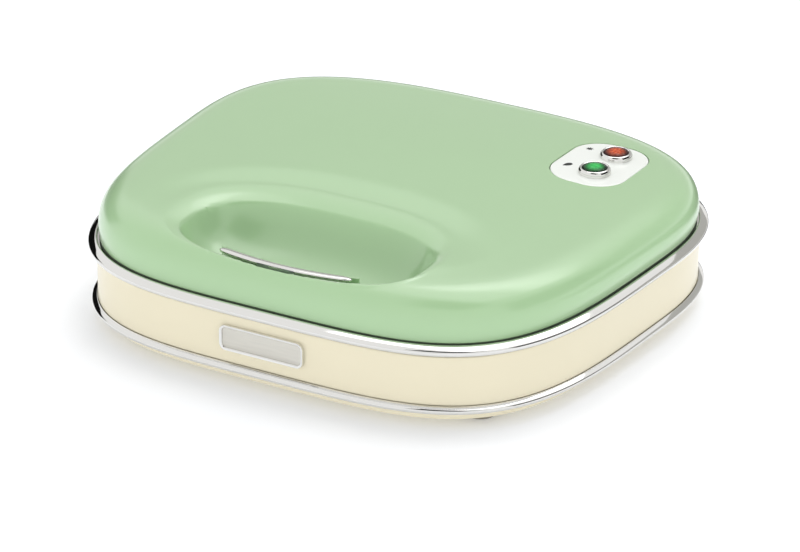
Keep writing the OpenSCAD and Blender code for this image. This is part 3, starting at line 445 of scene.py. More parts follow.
def framed(loop, profile):
    """A profile of (inset, rise) points carried round a loop, as a grid of (x, y, rise)."""
    points, normals = loop
    p = np.asarray(profile, float)
    plan = points[:, None, :] - p[None, :, :1] * normals[:, None, :]
    rise = np.broadcast_to(p[None, :, 1:], (len(points), len(p), 1))
    return np.concatenate([plan, rise], -1)


def on_front(grid):
    """Stands a grid of (across, up, out) points on the front of the band."""
    return np.stack([BADGE_X + grid[..., 0], -FRONT_D - grid[..., 2], BADGE_Z + grid[..., 1]], -1)


badge_loop = round_corner_loop(BADGE_W, BADGE_H, BADGE_R)
badge_rim = surface("badge_rim", on_front(framed(badge_loop, np.vstack([
    [(0.1, 0)], soft_corners([(0, 0.1), (0, BADGE_T), (0.45, BADGE_T + 0.02), (BADGE_RIM, 1.5),
                              (BADGE_RIM + 0.1, 0.85)], 6), [(BADGE_RIM + 0.1, 0)]]))),
    wrap_rows=True, wrap_columns=True)
dress(badge_rim, chrome, "base", "chrome", "badge_frame")

# Brushed nickel: lines along the badge, 0.14 mm apart at their finest, a little coarser than real ones
brushed = metal("brushed_nickel", "#DEDBD2", 0.32, 0.25, 900, stretch=(0.08, 1, 1), relief=0.6, darkest=0.82)
field_grid = framed(badge_loop, [(BADGE_RIM - 0.05, 0.2), (BADGE_RIM - 0.05, 0.8), (BADGE_RIM + 0.5, 0.95)])
field_points = np.swapaxes(on_front(field_grid), 0, 1)
badge_field = surface("badge_field", field_points, wrap_columns=True,
                      pole=[(BADGE_X, -FRONT_D - 0.95, BADGE_Z)])
dress(badge_field, brushed, "base", "satin_steel", "badge_panel")


# Cooking plates
# Two cast aluminium plates with four triangular pockets each. The casting is spray-coated, which
# rounds every edge a little. The lower plate lies in the base's deck and the upper one mirrors it.

PLATE_W, PLATE_D, PLATE_R, PLATE_Y = 212, 124, 20, 4
FLANGE_T, POCKET_DEPTH, POCKET_DRAFT, POCKET_WALL, POCKET_R = 3.5, 9.5, 11.5, 2.6, 13
MIDDLE_RIDGE, RIDGE_W, POCKET_MARGIN = 7.5, 8, 7
LIP_R = 1.3
LID_Z = BAND_TOP + 0.3


def triangle_loop(corners, radius, per_corner=14):
    """Points and normals round a triangle with rounded corners: each corner's arc touches both its sides."""
    points, normals = [], []
    for k in range(3):
        before, at, after = (np.array(corners[(k + s) % 3], float) for s in (-1, 0, 1))
        u, v = (before - at) / np.linalg.norm(before - at), (after - at) / np.linalg.norm(after - at)
        half = math.acos(u @ v) / 2
        centre = at + (u + v) / np.linalg.norm(u + v) * radius / math.sin(half)
        start = math.atan2(u[0], -u[1])
        a = start + np.linspace(0, math.pi - 2 * half, per_corner)
        n = np.stack([np.cos(a), np.sin(a)], -1)
        points.append(centre + radius * n)
        normals.append(n)
    return np.vstack(points), np.vstack(normals)


half_x = (MIDDLE_RIDGE, PLATE_W / 2 - POCKET_MARGIN)
half_y = (PLATE_Y - PLATE_D / 2 + POCKET_MARGIN, PLATE_Y + PLATE_D / 2 - POCKET_MARGIN)
diagonal = math.hypot(half_x[1] - half_x[0], half_y[1] - half_y[0])
ridge_dx = RIDGE_W / 2 * diagonal / (half_y[1] - half_y[0])
ridge_dy = RIDGE_W / 2 * diagonal / (half_x[1] - half_x[0])
right_pockets = [
    [(half_x[0] + ridge_dx, half_y[0]), (half_x[1], half_y[0]), (half_x[1], half_y[1] - ridge_dy)],
    [(half_x[0], half_y[0] + ridge_dy), (half_x[1] - ridge_dx, half_y[1]), (half_x[0], half_y[1])]]
left_pockets = [[(-x, y) for x, y in reversed(p)] for p in right_pockets]


def quarter_ellipse(start, draft, depth, count=14):
    """(inset, depth) points of a pocket's wall: inset = draft (1 - cos), depth = depth sin, from the
    start angle to its floor."""
    a = np.linspace(start, math.pi / 2, count)
    return np.stack([draft * (1 - np.cos(a)), depth * np.sin(a)], -1)


def cast_plate(name, face_z, way):
    """A plate whose pockets sink from face_z in the direction way: a flat face with rounded lips, pocket
    walls that end in flat floors, and a parallel back."""
    a = np.linspace(0, math.pi / 2, 6)
    lip = np.stack([-LIP_R * (1 - np.sin(a)) * 0.8, LIP_R * (1 - np.cos(a))], -1)
    wall = quarter_ellipse(math.asin(LIP_R / POCKET_DEPTH), POCKET_DRAFT, POCKET_DEPTH)
    inner = np.vstack([lip[:-1], wall])
    outer = quarter_ellipse(math.asin(FLANGE_T / (POCKET_DEPTH + POCKET_WALL)),
                            POCKET_DRAFT + POCKET_WALL, POCKET_DEPTH + POCKET_WALL) - (POCKET_WALL, 0)
    vertices, polygons = [], []

    def loop_rows(loop, profile):
        """Rows of vertices for a profile carried round a loop, joined by quads. Gives back their numbers."""
        grid = np.swapaxes(framed(loop, profile), 0, 1)
        rows, columns = grid.shape[:2]
        start = sum(len(v) for v in vertices)
        vertices.append(grid.reshape(-1, 3))
        ids = start + np.arange(rows * columns).reshape(rows, columns)
        a, b = ids[:-1], ids[1:]
        quads = np.stack([a, np.roll(a, -1, 1), np.roll(b, -1, 1), b], -1).reshape(-1, 4)
        polygons.extend(quads.tolist())
        return ids

    edge = round_corner_loop(PLATE_W, PLATE_D, PLATE_R, 16)
    edge = (edge[0] + (0, PLATE_Y), edge[1])
    rim = loop_rows(edge, [(1.2, 0), (0.75, 0.08), (0.35, 0.35), (0.08, 0.75), (0, 1.2), (0, FLANGE_T)])
    mouths, backs = [rim[0]], [rim[-1]]
    for corners in right_pockets + left_pockets:
        loop = triangle_loop(corners, POCKET_R)
        pocket, mound = loop_rows(loop, inner), loop_rows(loop, outer)
        mouths.append(pocket[0])
        backs.append(mound[0])
        polygons += [pocket[-1].tolist(), mound[-1].tolist()]
    every = np.vstack(vertices)
    for loops in (mouths, backs):
        flat = np.concatenate(loops)
        filled = tessellate_polygon([[Vector((*every[i, :2], 0)) for i in loop] for loop in loops])
        polygons.extend([int(flat[i]) for i in triangle] for triangle in filled)
    every[:, 2] = face_z + way * every[:, 2]
    return finish_mesh(name, every, polygons)


# PTFE non-stick coat on cast aluminium: a dark satin film, with a fine speckle of 0.5 mm
nonstick, tree, out = new_material("ptfe_coated_aluminium")
place = add_node(tree, "ShaderNodeTexCoord").outputs["Object"]
spots = add_node(tree, "ShaderNodeMapRange", {"From Min": 0.6, "From Max": 0.72},
                 {"Value": noise(tree, place, 2200, 2)})
coat = add_node(tree, "ShaderNodeMix", {"data_type": "RGBA", 6: linear("#262627"), 7: linear("#4A4A4C")},
                {"Factor": spots.outputs[0]})
orange_peel = bumped(tree, noise(tree, place, 700, 1), 0.25, 0.0002)
shader = add_node(tree, "ShaderNodeBsdfPrincipled", {"Roughness": 0.38, "IOR": 1.38},
                  {"Base Color": coat.outputs[2], "Normal": orange_peel})
tree.links.new(shader.outputs[0], out.inputs["Surface"])

dress(cast_plate("lower_cooking_plate", BAND_TOP, -1), nonstick, "base", "nonstick", "lower_plate")
dress(cast_plate("upper_cooking_plate", LID_Z, 1), nonstick, "lid", "nonstick", "upper_plate")


# Works inside the casing
# Sheathed elements, aluminised steel shields, zinc-plated screws and pins, and the small electrical
# parts. They stay as the CAD has them and only take their real finishes.

# Nickel-alloy sheath, dulled by heat into a brown grey
refinish(metal("heated_alloy_sheath", "#8A8178", 0.42, 0.15, 300, darkest=0.7),
         "lower_heating_element", "upper_heating_element")
# Rolled aluminised sheet: dull silver with long rolling lines
refinish(metal("rolled_aluminised_steel", "#B4B6B8", 0.35, 0.15, 400,
               stretch=(0.05, 1, 1), relief=0.3, darkest=0.8),
         "lower_heat_shield", "upper_heat_shield")
# Zinc-plated and passivated steel: a soft, slightly blue shine
refinish(metal("zinc_plated_steel", "#B9BCC0", 0.25, 0.15, 500, darkest=0.85),
         "base_screws", "lower_plate_screws", "upper_plate_screws", "rear_housing_screws", "lid_screws",
         "hinge_pins", "latch_keeper", "latch_pin", "latch_spring")
refinish(moulded_plastic("glazed_steatite", "#E9E4D8", 0.3, 0.1), "terminal_block", "thermal_fuse")
refinish(moulded_plastic("black_phenolic", "#1C1B1B", 0.4, 0.0), "thermostat", "lamp_holders")


# Upper trim ring
# The wider chromed ring that edges the lid. Two notches at the rear let the lid's hinge arms pass
# under it.

UPPER_RING_H, UPPER_BULGE, UPPER_STAND_IN = 5.9, 4.1, 3.7
DOME_Z = LID_Z + UPPER_RING_H
ARM_X, ARM_HALF_W, ARM_T = 37, 6.7, 3.5
ARM_GAP, NOTCH_REACH = 0.4, 12


def grid_faces(rows, columns, first=0):
    """Quads of a grid that closes round its columns, as vertex numbers counted from first."""
    i, j = np.arange(rows - 1)[:, None], np.arange(columns)[None, :]
    a, j2 = first + i * columns, (j + 1) % columns
    return np.stack([a + j, a + j2, a + columns + j2, a + columns + j], -1).reshape(-1, 4)


def capped(name, grid):
    """A closed solid from rows of points round it: quads between the rows, and a cap at each end."""
    rows, columns = grid.shape[:2]
    caps = [list(range(columns))[::-1], list(range((rows - 1) * columns, rows * columns))]
    return finish_mesh(name, grid.reshape(-1, 3), grid_faces(rows, columns).tolist() + caps)


def prism(name, loop, low, high):
    """A closed solid with a flat plan: the loop carried straight up from low to high."""
    return capped(name, np.array([np.column_stack([loop, np.full(len(loop), z)]) for z in (low, high)]))


def cut(piece, *tools):
    """Takes the tools' shapes out of a piece, exactly, and removes the tools."""
    for tool in tools:
        step = piece.modifiers.new(tool.name, "BOOLEAN")
        step.operation, step.solver, step.object = "DIFFERENCE", "EXACT", tool
    graph = bpy.context.evaluated_depsgraph_get()
    carved = bpy.data.meshes.new_from_object(piece.evaluated_get(graph))
    piece.modifiers.clear()
    piece.data = carved
    for tool in tools:
        bpy.data.objects.remove(tool)
    carved.set_sharp_from_angle(angle=SHARP_BEND)
    return piece


def box_loop(x0, x1, y0, y1):
    """The four corners of a rectangle, counter-clockwise."""
    return np.array([(x0, y0), (x1, y0), (x1, y1), (x0, y1)], float)


upper_ring = carried_round("upper_ring", ring_profile(
    LID_Z, UPPER_RING_H, UPPER_BULGE, UPPER_STAND_IN, RING_LIP, 0.35))
notches = []
for side, arm_x in (("left", -ARM_X), ("right", ARM_X)):
    reach = ARM_HALF_W + ARM_GAP
    notch = box_loop(arm_x - reach, arm_x + reach, REAR_D - NOTCH_REACH, REAR_D + NOTCH_REACH)
    notches.append(prism("notch_" + side, notch, LID_Z - 1, LID_Z + ARM_T + ARM_GAP / 2))
cut(upper_ring, *notches)
dress(upper_ring, chrome, "lid", "chrome", "upper_trim_ring")


# Lid shell
# A domed shell of glossy green ABS, moulded in one with its finger recess. The recess has a crisp
# front lip before the latch bar and fades softly into the crown at its rear.

DOME_INSET, DOME_R, DOME_Q, DOME_H, CROWN_H = 1.5, 20.6, 3.2, 20, 4.2
CROWN_REACH = 0.5 * (HALF_W + (FRONT_D + REAR_D) / 2) - DOME_INSET
CROWN_EDGE = 1 - DOME_R / CROWN_REACH
DOME_TOP = DOME_Z + DOME_H + CROWN_H
LID_WALL = 2.2
SIDE_SWELL, SWELL_RISE = 0.014, 7   # the dome grows a little wider than its foot within this rise
SKIRT = 1.4              # how far its edge reaches down into the groove of the ring
SCOOP_Y, SCOOP_HALF_L, SCOOP_NEAR, SCOOP_FAR, SCOOP_RIM, SCOOP_POWER = 96, 60, 26.9, 35.5, 13, 2.6
SCOOP_FLOOR, SCOOP_EDGE, SCOOP_BEVEL = DOME_TOP - 25, DOME_TOP - 5, 4.6
BAR_CENTRE_Y, BAR_R, BAR_T, BAR_HALF_L = 25.6, 146.2, 2.3, 34.2
SLOT_FRONT_R, SLOT_REAR_R, SLOT_HALF_L = 148.6, 141.4, 34.8
BAR_SHIFT = 2.0          # the bar sits this far to the right in the photograph
BAR_TOP = DOME_Z + 18.1
STEEP = 5                # slope that ends a form
# Forms round the bar: a lip holds the shell down before the slot, a ledge holds the bowl up there, with
# a small gap to the slot, and a ridge stands just behind the slot
LIP_DROP, LIP_SLOPE, LIP_BACK, LIP_HALF_L, LIP_END_SLOPE = 0.3, 0.45, 7.5, 35, 1.2
LEDGE_GAP, LEDGE_HALF_L, LEDGE_END_SLOPE = 0.2, 35.5, 2
RIDGE_DROP, RIDGE_SLOPE, RIDGE_BACK, RIDGE_HALF_L, RIDGE_END_SLOPE = 0.9, 1.25, 0.4, 30, 1.5
# Rounding of the recess's rim: fine along the lip, wider behind it and at its left end, and a low
# bead beside the bar
RIM_FINE, RIM_REAR, RIM_LEFT = 1.3, 5.5, 3.0
REAR_FROM_Y, LEFT_FROM_X, RIM_BLEND = -84, -40, 7
BEAD_H, BEAD_OUT, BEAD_W, BEAD_FROM_X = 0.3, 1.5, 0.8, 34


def recess_height(x, y):
    """Height of the recess over a plan point. The recess is a stack of superellipses whose half length,
    near and far reach grow with u while z = floor + depth (1 - cos(pi/2 u^1.4)), so u is found by
    halving, and past u = 1 a soft rim bends over to the crown."""
    dx, dy = np.abs(x), y + SCOOP_Y

    def level(u):
        share = np.clip(u, 0, 1)
        inside = share * math.pi / 2
        rim = SCOOP_RIM * np.clip(u - 1, 0, 1)
        half_l = SCOOP_HALF_L * (0.5 + 0.25 * np.sin(inside) + 0.25 * share) + np.where(x < 0, 1.1, 0.5) * rim
        near = SCOOP_NEAR * (0.4 + 0.6 * np.clip(u, 0, 1.2) / 0.93)
        far = SCOOP_FAR * (0.20 + 0.10 * np.sin(inside) + 0.70 * share) + rim
        return (dx / half_l) ** SCOOP_POWER + (np.abs(dy) / np.where(dy < 0, near, far)) ** SCOOP_POWER

    low, high = np.zeros_like(x), np.full_like(x, 2)
    for _ in range(28):
        middle = (low + high) / 2
        outside = level(middle) > 1
        low, high = np.where(outside, middle, low), np.where(outside, high, middle)
    inside, over = np.clip(low, 0, 1), np.clip(low - 1, 0, 1)
    bowl = SCOOP_FLOOR + (SCOOP_EDGE - SCOOP_FLOOR) * (1 - np.cos(math.pi / 2 * inside ** 1.4))
    beyond = np.maximum(level(np.full_like(x, 2)) ** (1 / SCOOP_POWER) - 1, 0)
    return bowl + SCOOP_BEVEL * np.sin(math.pi / 2 * over) + 25 * (np.hypot(beyond, 0.12) - 0.12)


def soft_min(a, b, width):
    """The lower of two heights, with a rounded join: a parabola where they differ by less than width."""
    share = np.clip(0.5 + 0.5 * (b - a) / width, 0, 1)
    return b * (1 - share) + a * share - width * share * (1 - share)


def crown_rise(x, y):
    """Height of the crown over a plan point: it falls with the square of the share of the way out."""
    polar = np.arctan2(y, x)
    radius = np.interp(polar, rim_polar, rim_radius, period=2 * math.pi)
    share = CROWN_EDGE * np.hypot(x, y) / radius
    return DOME_Z + DOME_H + CROWN_H * (1 - share ** 2)


def lid_surface(points, normals, runs, shares):
    """The lid's outer face as rings of points: up the superelliptic shoulder, where (1 - run/R)^q +
    (rise/H)^q = 1, then over the crown in smaller and smaller copies of the shoulder's inner edge.
    The recess is sunk into both, with its lip, ledge and ridge."""
    run = runs[:, None, None]
    plan_shoulder = points[None] - (DOME_INSET + run) * normals[None]
    rise = DOME_H * (1 - (1 - runs / DOME_R) ** DOME_Q) ** (1 / DOME_Q)
    z_shoulder = DOME_Z + rise + CROWN_H * (1 - (1 - runs / CROWN_REACH) ** 2)
    edge = points - (DOME_INSET + DOME_R) * normals
    plan_crown = shares[:, None, None] * edge[None]
    z_crown = DOME_Z + DOME_H + CROWN_H * (1 - (CROWN_EDGE * shares) ** 2)
    plan = np.concatenate([plan_shoulder, plan_crown])
    z = np.broadcast_to(np.concatenate([z_shoulder, z_crown])[:, None], plan.shape[:2]).copy()
    swell = SIDE_SWELL * np.minimum(np.abs(plan[..., 0]) / HALF_W, 1) ** 3
    plan[..., 0] *= 1 + swell * np.sin(math.pi / 2 * np.clip((z - DOME_Z) / SWELL_RISE, 0, 1))
    x, y = plan[..., 0], plan[..., 1]
    ahead = np.hypot(x, y - BAR_CENTRE_Y) - SLOT_FRONT_R
    lip = (BAR_TOP - LIP_DROP + LIP_SLOPE * np.maximum(ahead, 0) + STEEP * np.maximum(-ahead - LIP_BACK, 0)
           + LIP_END_SLOPE * np.maximum(np.abs(x - BAR_SHIFT) - LIP_HALF_L, 0))
    z = soft_min(z, lip, 1.0)
    bowl = recess_height(x, y)
    behind = SLOT_REAR_R - np.hypot(x, y - BAR_CENTRE_Y)
    ridge = (BAR_TOP - RIDGE_DROP - RIDGE_SLOPE * np.abs(behind - RIDGE_BACK)
             - RIDGE_END_SLOPE * np.maximum(np.abs(x) - RIDGE_HALF_L, 0))
    bowl = -soft_min(-bowl, -ridge, 1.6)
    ledge = (BAR_TOP - LIP_DROP - STEEP * np.maximum(LEDGE_GAP - ahead, 0)
             - LEDGE_END_SLOPE * np.maximum(np.abs(x - BAR_SHIFT) - LEDGE_HALF_L, 0))
    bowl = -soft_min(-bowl, -ledge, 1.0)
    fade = 1 / (1 + np.exp(-(y - REAR_FROM_Y) / RIM_BLEND))
    left = 1 / (1 + np.exp((x - LEFT_FROM_X) / RIM_BLEND))
    softness = RIM_FINE + RIM_REAR * fade + RIM_LEFT * left * (1 - fade)
    bead = BEAD_H * np.exp(-((bowl - z - BEAD_OUT) / BEAD_W) ** 2) * (1 - fade) * (1 - 0.6 * left)
    z = soft_min(z, bowl, softness) + bead * (np.abs(x) > BEAD_FROM_X)
    return np.concatenate([plan, z[..., None]], -1)


def denser_at_recess(middle):
    """Six times as many points along the front, where the recess is."""
    return 1 + 5 / (1 + np.exp((np.abs(middle[:, 0]) - 72) / 4)) * (middle[:, 1] < 0)


# Rings of the lid: the foot of its shoulder in equal rises, the rest of it in equal runs, then the
# crown, where they lie close together as far in as the recess
edge_points, edge_normals = spread(outline, 448, denser_at_recess)
rim_plan = edge_points - (DOME_INSET + DOME_R) * edge_normals
rim_polar = np.arctan2(rim_plan[:, 1], rim_plan[:, 0])
order = np.argsort(rim_polar)
rim_polar, rim_radius = rim_polar[order], np.hypot(*rim_plan[order].T)
steep = np.linspace(0, 14, 15)
runs = DOME_R * (1 - (1 - (steep / DOME_H) ** DOME_Q) ** (1 / DOME_Q))
runs = np.concatenate([runs, np.linspace(runs[-1], DOME_R, 34)[1:]])
shares = np.concatenate([np.linspace(1, 0.43, 100)[1:], np.linspace(0.43, 0, 14)[1:-1]])
outer = lid_surface(edge_points, edge_normals, runs, shares)
outer = np.concatenate([outer[:1] - (0, 0, SKIRT), outer])
# The inner sheet lies one wall thickness inside the outer one, on a coarser grid
step = np.gradient(outer, axis=0)
around = (np.roll(outer, -1, 1) - np.roll(outer, 1, 1)) / 2
facing = np.cross(around, step)
facing /= np.linalg.norm(facing, axis=-1)[..., None]
coarse_rows = np.unique(np.r_[0, 1, 9, np.arange(13, len(outer), 5), len(outer) - 1])
inner = (outer - LID_WALL * facing)[coarse_rows][:, ::4]
inner[0] = inner[1] - (0, 0, SKIRT)

# Quads of both sheets, a fan round each pole, and the edge, where each inner side meets four outer ones
n, m = outer.shape[1], inner.shape[1]
outer_pole, inner_first = outer.shape[0] * n, outer.shape[0] * n + 1
inner_pole = inner_first + inner.shape[0] * m
last, inner_last = outer_pole - n, inner_pole - m
shell_faces = grid_faces(len(outer), n).tolist() + grid_faces(len(inner), m, inner_first)[:, ::-1].tolist()
shell_faces += [[last + a, last + (a + 1) % n, outer_pole] for a in range(n)]
shell_faces += [[inner_last + (a + 1) % m, inner_last + a, inner_pole] for a in range(m)]
shell_faces += [[inner_first + (a + 1) % m, inner_first + a] + [(4 * a + k) % n for k in range(5)]
                for a in range(m)]
shell_points = np.vstack([outer.reshape(-1, 3), [(0, 0, DOME_TOP)],
                          inner.reshape(-1, 3), [(0, 0, DOME_TOP - LID_WALL)]])
lid = finish_mesh("lid_dome", shell_points, shell_faces)

# A dark green strip in the ring's groove is painted shade: it stands in for the thin dark line of shade round
# the dome's foot
shade_strip = carried_round("lid_shade_strip", [
    (1.3, DOME_Z - 1.2), (1.3, DOME_Z - 0.1), (1.5, DOME_Z + 0.1), (2.3, DOME_Z + 0.1), (2.3, DOME_Z - 1.2)])
dress(shade_strip, rubber("painted_shade_strip", "#3C4A38"), "lid", "rubber")


def arc_strip(outer_r, inner_r, half_l, end_r, count=60):
    """Plan of a strip that follows the latch's curve: two arcs about one centre, joined by rounded ends."""
    mid_r, half_w = (outer_r + inner_r) / 2, (outer_r - inner_r) / 2
    sweep = math.asin((half_l - end_r) / mid_r)
    a = np.linspace(-sweep, sweep, count)
    turn = np.linspace(0, math.pi / 2, 7)[1:]
    out_end, in_end = end_r * np.sin(turn), end_r * np.cos(turn) - end_r
    along = np.concatenate([a * mid_r, sweep * mid_r + out_end])
    across = np.concatenate([np.zeros(count), in_end])
    half = np.column_stack([along, half_w + across])
    half = half[half[:, 0] >= 0]
    quarter = np.vstack([half, half[::-1] * (1, -1)])
    loop = np.vstack([quarter[::-1], (quarter * (-1, 1))])
    angle, radius = (loop[:, 0] + BAR_SHIFT) / mid_r, mid_r + loop[:, 1]
    return np.column_stack([radius * np.sin(angle), BAR_CENTRE_Y - radius * np.cos(angle)])


PANEL_W, PANEL_D, PANEL_R, PANEL_X, PANEL_Y, PANEL_SEAM = 37, 50, 15, 76, 42, 0.3
panel_loop, panel_normals = round_corner_loop(PANEL_W, PANEL_D, PANEL_R, 24)
panel_loop = panel_loop + (PANEL_X, PANEL_Y)
cut(lid, prism("slot", arc_strip(SLOT_FRONT_R, SLOT_REAR_R, SLOT_HALF_L, 2.6), DOME_Z - 4, DOME_TOP + 2),
    prism("panel_opening", panel_loop + PANEL_SEAM * panel_normals, DOME_Z + 8, DOME_TOP + 2))

# Glossy ABS in pastel green, from a polished mould: even and slightly deep, with broad soft highlights
green = moulded_plastic("green_abs", "#A4C698", 0.30, 0.80)
dress(lid, green, "lid", "green_plastic", "lid_shell")

# A thin wall behind the slot closes the view into the lid
WELL_WALL, WELL_DROP = 1.6, 1.6
well_plan = arc_strip(SLOT_REAR_R, SLOT_REAR_R - WELL_WALL, SLOT_HALF_L, WELL_WALL / 2)
well = prism("latch_well", well_plan, DOME_Z + 2, BAR_TOP - WELL_DROP)
dress(well, green, "lid", "green_plastic")


# Lamp panel
# A white moulded panel snapped flush into the crown, with a fine seam round it, a seat for each
# lamp, and two small printed marks: a spark for power and a drop for heat.

LAMP_X, LAMP_Y = PANEL_X + 2.5, (PANEL_Y - 9.85, PANEL_Y + 11.85)
BEZEL_D, LENS_D, BEZEL_H, BEZEL_WALL, BEZEL_NECK = 15.4, 11.8, 3, 0.8, 3.4
LAMP_Z = [1000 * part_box(node)[0].z + 1.6 for node in ("green_lens", "red_lens")]


def lathe(name, profile, centre, count=72):
    """A closed profile of (radius, height) points turned about an upright axis at centre."""
    a = np.linspace(0, 2 * math.pi, count, endpoint=False)[:, None]
    r, z = np.asarray(profile, float).T
    points = np.stack([centre[0] + r * np.cos(a), centre[1] + r * np.sin(a), centre[2] + z + 0 * a], -1)
    return surface(name, points, wrap_rows=True, wrap_columns=True)


centre = np.array([PANEL_X, PANEL_Y])
# Rows of the cover: its rounded edge, the crown it follows inward, then its sides and flat underside
ring_in = [panel_loop - inset * panel_normals for inset in (0.0, 0.06, 0.25, 0.6)]
drops = (0.75, 0.35, 0.1, 0.0)
rings = [np.column_stack([p, crown_rise(*p.T) - d]) for p, d in zip(ring_in, drops)]
for s in np.linspace(0.93, 0.07, 12):
    p = centre + s * (panel_loop - centre)
    rings.append(np.column_stack([p, crown_rise(*p.T)]))
bottom = np.column_stack([panel_loop, crown_rise(*panel_loop.T) - 2.8])
underside = np.full(len(panel_loop), bottom[:, 2].min())
flat = [np.column_stack([centre + s * (panel_loop - centre), underside]) for s in (0.9, 0.05)]
panel = capped("lamp_panel_cover", np.array(flat[::-1] + [bottom] + rings))
NEAR_AXIS = 0.001      # radius at which a turned profile closes
bore_r, seat_r = BEZEL_D / 2 - 1, BEZEL_D / 2 + 0.1
seat_profile = [(NEAR_AXIS, -9), (bore_r, -9), (bore_r, 0), (seat_r, 0), (seat_r, 6), (NEAR_AXIS, 6)]
lamp_seats = [(LAMP_X, LAMP_Y[i], LAMP_Z[i]) for i in (0, 1)]
cut(panel, *[lathe(f"seat_{i}", seat_profile, seat) for i, seat in enumerate(lamp_seats)])
white = moulded_plastic("white_abs", "#EEF1EC", 0.22, 0.3, mottle=0.01)
dress(panel, white, "lid", "white_plastic", "lamp_panel")

# Tampon-printed black ink: thin, matt, and slightly uneven where the pad pressed it
ink = rubber("black_printing_ink", "#20221F")


def printed(name, loop, turn, place):
    """A printed mark: a flat loop of points turned and laid on the crown, 0.05 mm proud of it."""
    c, s = math.cos(turn), math.sin(turn)
    p = np.asarray(loop) @ np.array([(c, s), (-s, c)]) + place
    mark = capped(name, np.array([np.column_stack([p, crown_rise(*p.T) + rise]) for rise in (-0.05, 0.05)]))
    dress(mark, ink, "lid", "black_plastic")


a = np.arange(16) * math.pi / 8
spark = np.column_stack([np.cos(a), np.sin(a)]) * np.where(np.arange(16) % 2, 0.95, 2.0)[:, None]
printed("spark_mark", spark, 0.2, (64.0, 55.6))
a = np.linspace(0, 2 * math.pi, 24, endpoint=False)
drop = np.column_stack([1.75 * np.sin(a) * np.sin(a / 2) ** 0.8, 2.6 * np.cos(a)])
printed("drop_mark", drop, 2.6, (64.2, 32.8))


# Pilot lamps
# A red and a green neon lamp. Each has a domed, faceted lens of clear tinted acrylic in a chromed
# bezel that is pressed into the panel.

lens_r, bezel_r, neck_r = LENS_D / 2, BEZEL_D / 2, LENS_D / 2 + BEZEL_WALL
collar = np.vstack([
    [(lens_r + 0.02, -BEZEL_NECK), (neck_r, -BEZEL_NECK), (neck_r, 0.02)],
    soft_corners([(bezel_r, 0.02), (bezel_r, 2.0), (bezel_r - 0.5, 3.1),
                  (lens_r + 0.5, 3.7), (lens_r + 0.02, 3.3)], 7)])
for i, tint in enumerate(("green", "red")):
    bezel = lathe(tint + "_bezel", collar, lamp_seats[i])
    dress(bezel, chrome, "lid", "chrome", *(["lamp_bezels"] if i else []))


LENS_DARK_R, LENS_BRIGHT_R = 0.0054, 0.0014    # a lens's painted glow brightens between these radii, in metres


def painted_glow_lens(name, rim, body, glow, place):
    """Tinted acrylic over a reflector, with its light painted into its colour: painted shade at its rim,
    where the light path is long, and a painted glow towards its middle, broken up by moulded facets 1.5 mm
    across."""
    finish, tree, out = new_material(name)
    here = add_node(tree, "ShaderNodeTexCoord").outputs["Object"]
    centre = add_node(tree, "ShaderNodeVectorMath", {"operation": "SUBTRACT", 1: place}, {0: here})
    flat = add_node(tree, "ShaderNodeVectorMath", {"operation": "MULTIPLY", 1: (1, 1, 0)},
                    {0: centre.outputs[0]})
    away = add_node(tree, "ShaderNodeVectorMath", {"operation": "LENGTH"}, {0: flat.outputs[0]})
    share = add_node(tree, "ShaderNodeMapRange",
                     {"From Min": LENS_DARK_R, "From Max": LENS_BRIGHT_R, "interpolation_type": "SMOOTHSTEP"},
                     {"Value": away.outputs["Value"]})
    facets = add_node(tree, "ShaderNodeTexVoronoi", {"Scale": 650, "Randomness": 0.5}, {"Vector": here})
    lit = add_node(tree, "ShaderNodeMapRange", {"From Min": 0.0, "From Max": 0.9},
                   {"Value": facets.outputs["Distance"]})
    middle = add_node(tree, "ShaderNodeMix", {"data_type": "RGBA", 6: linear(body), 7: linear(glow)},
                      {"Factor": lit.outputs[0]})
    colour = add_node(tree, "ShaderNodeMix", {"data_type": "RGBA", 6: linear(rim)},
                      {"Factor": share.outputs[0], 7: middle.outputs[2]})
    faceted = bumped(tree, facets.outputs["Distance"], 0.35, 0.0005)
    shader = add_node(tree, "ShaderNodeBsdfPrincipled",
                      {"Roughness": 0.12, "IOR": 1.49, "Specular IOR Level": 0.2},
                      {"Base Color": colour.outputs[2], "Normal": faceted})
    tree.links.new(shader.outputs[0], out.inputs["Surface"])
    return finish


LENS_FOOT, LENS_EDGE, LENS_RISE = -1.6, BEZEL_H + 0.2, 1.4
GLOW_SHIFT = (0.4, -0.8)     # the painted bright middle of a lens lies this far off its axis
LENS_TINTS = (("green", "#031C0B", "#108A3C", "#3CCB60"), ("red", "#2A0300", "#981E06", "#EA6A30"))
for i, (tint, rim, body, glow) in enumerate(LENS_TINTS):
    a = np.linspace(0, math.pi / 2, 12)
    dome = np.column_stack([lens_r * np.cos(a), LENS_EDGE + LENS_RISE * np.sin(a)])
    dome[-1, 0] = NEAR_AXIS
    foot = [(NEAR_AXIS, LENS_FOOT), (lens_r, LENS_FOOT)]
    lens = lathe(tint + "_lamp_lens", np.vstack([foot, dome]), lamp_seats[i])
    # Each lens has painted light in its colour: shade at its rim and a glow just off its middle
    place = ((LAMP_X + GLOW_SHIFT[0]) / 1000, (LAMP_Y[i] + GLOW_SHIFT[1] + BODY_Y) / 1000, 0)
    finish = painted_glow_lens("tinted_acrylic_painted_glow_" + tint, rim, body, glow, place)
    dress(lens, finish, "lid", tint + "_lens", tint + "_lens")


# Latch
# A sprung lever whose bar lies just behind the recess's front lip. The bar is a chromed moulding
# pressed over a steel web, which turns on the CAD's pin and ends in a hook.

BAR_FRONT_R, BAR_REAR_R = BAR_R + 0.1, BAR_R - 3.6


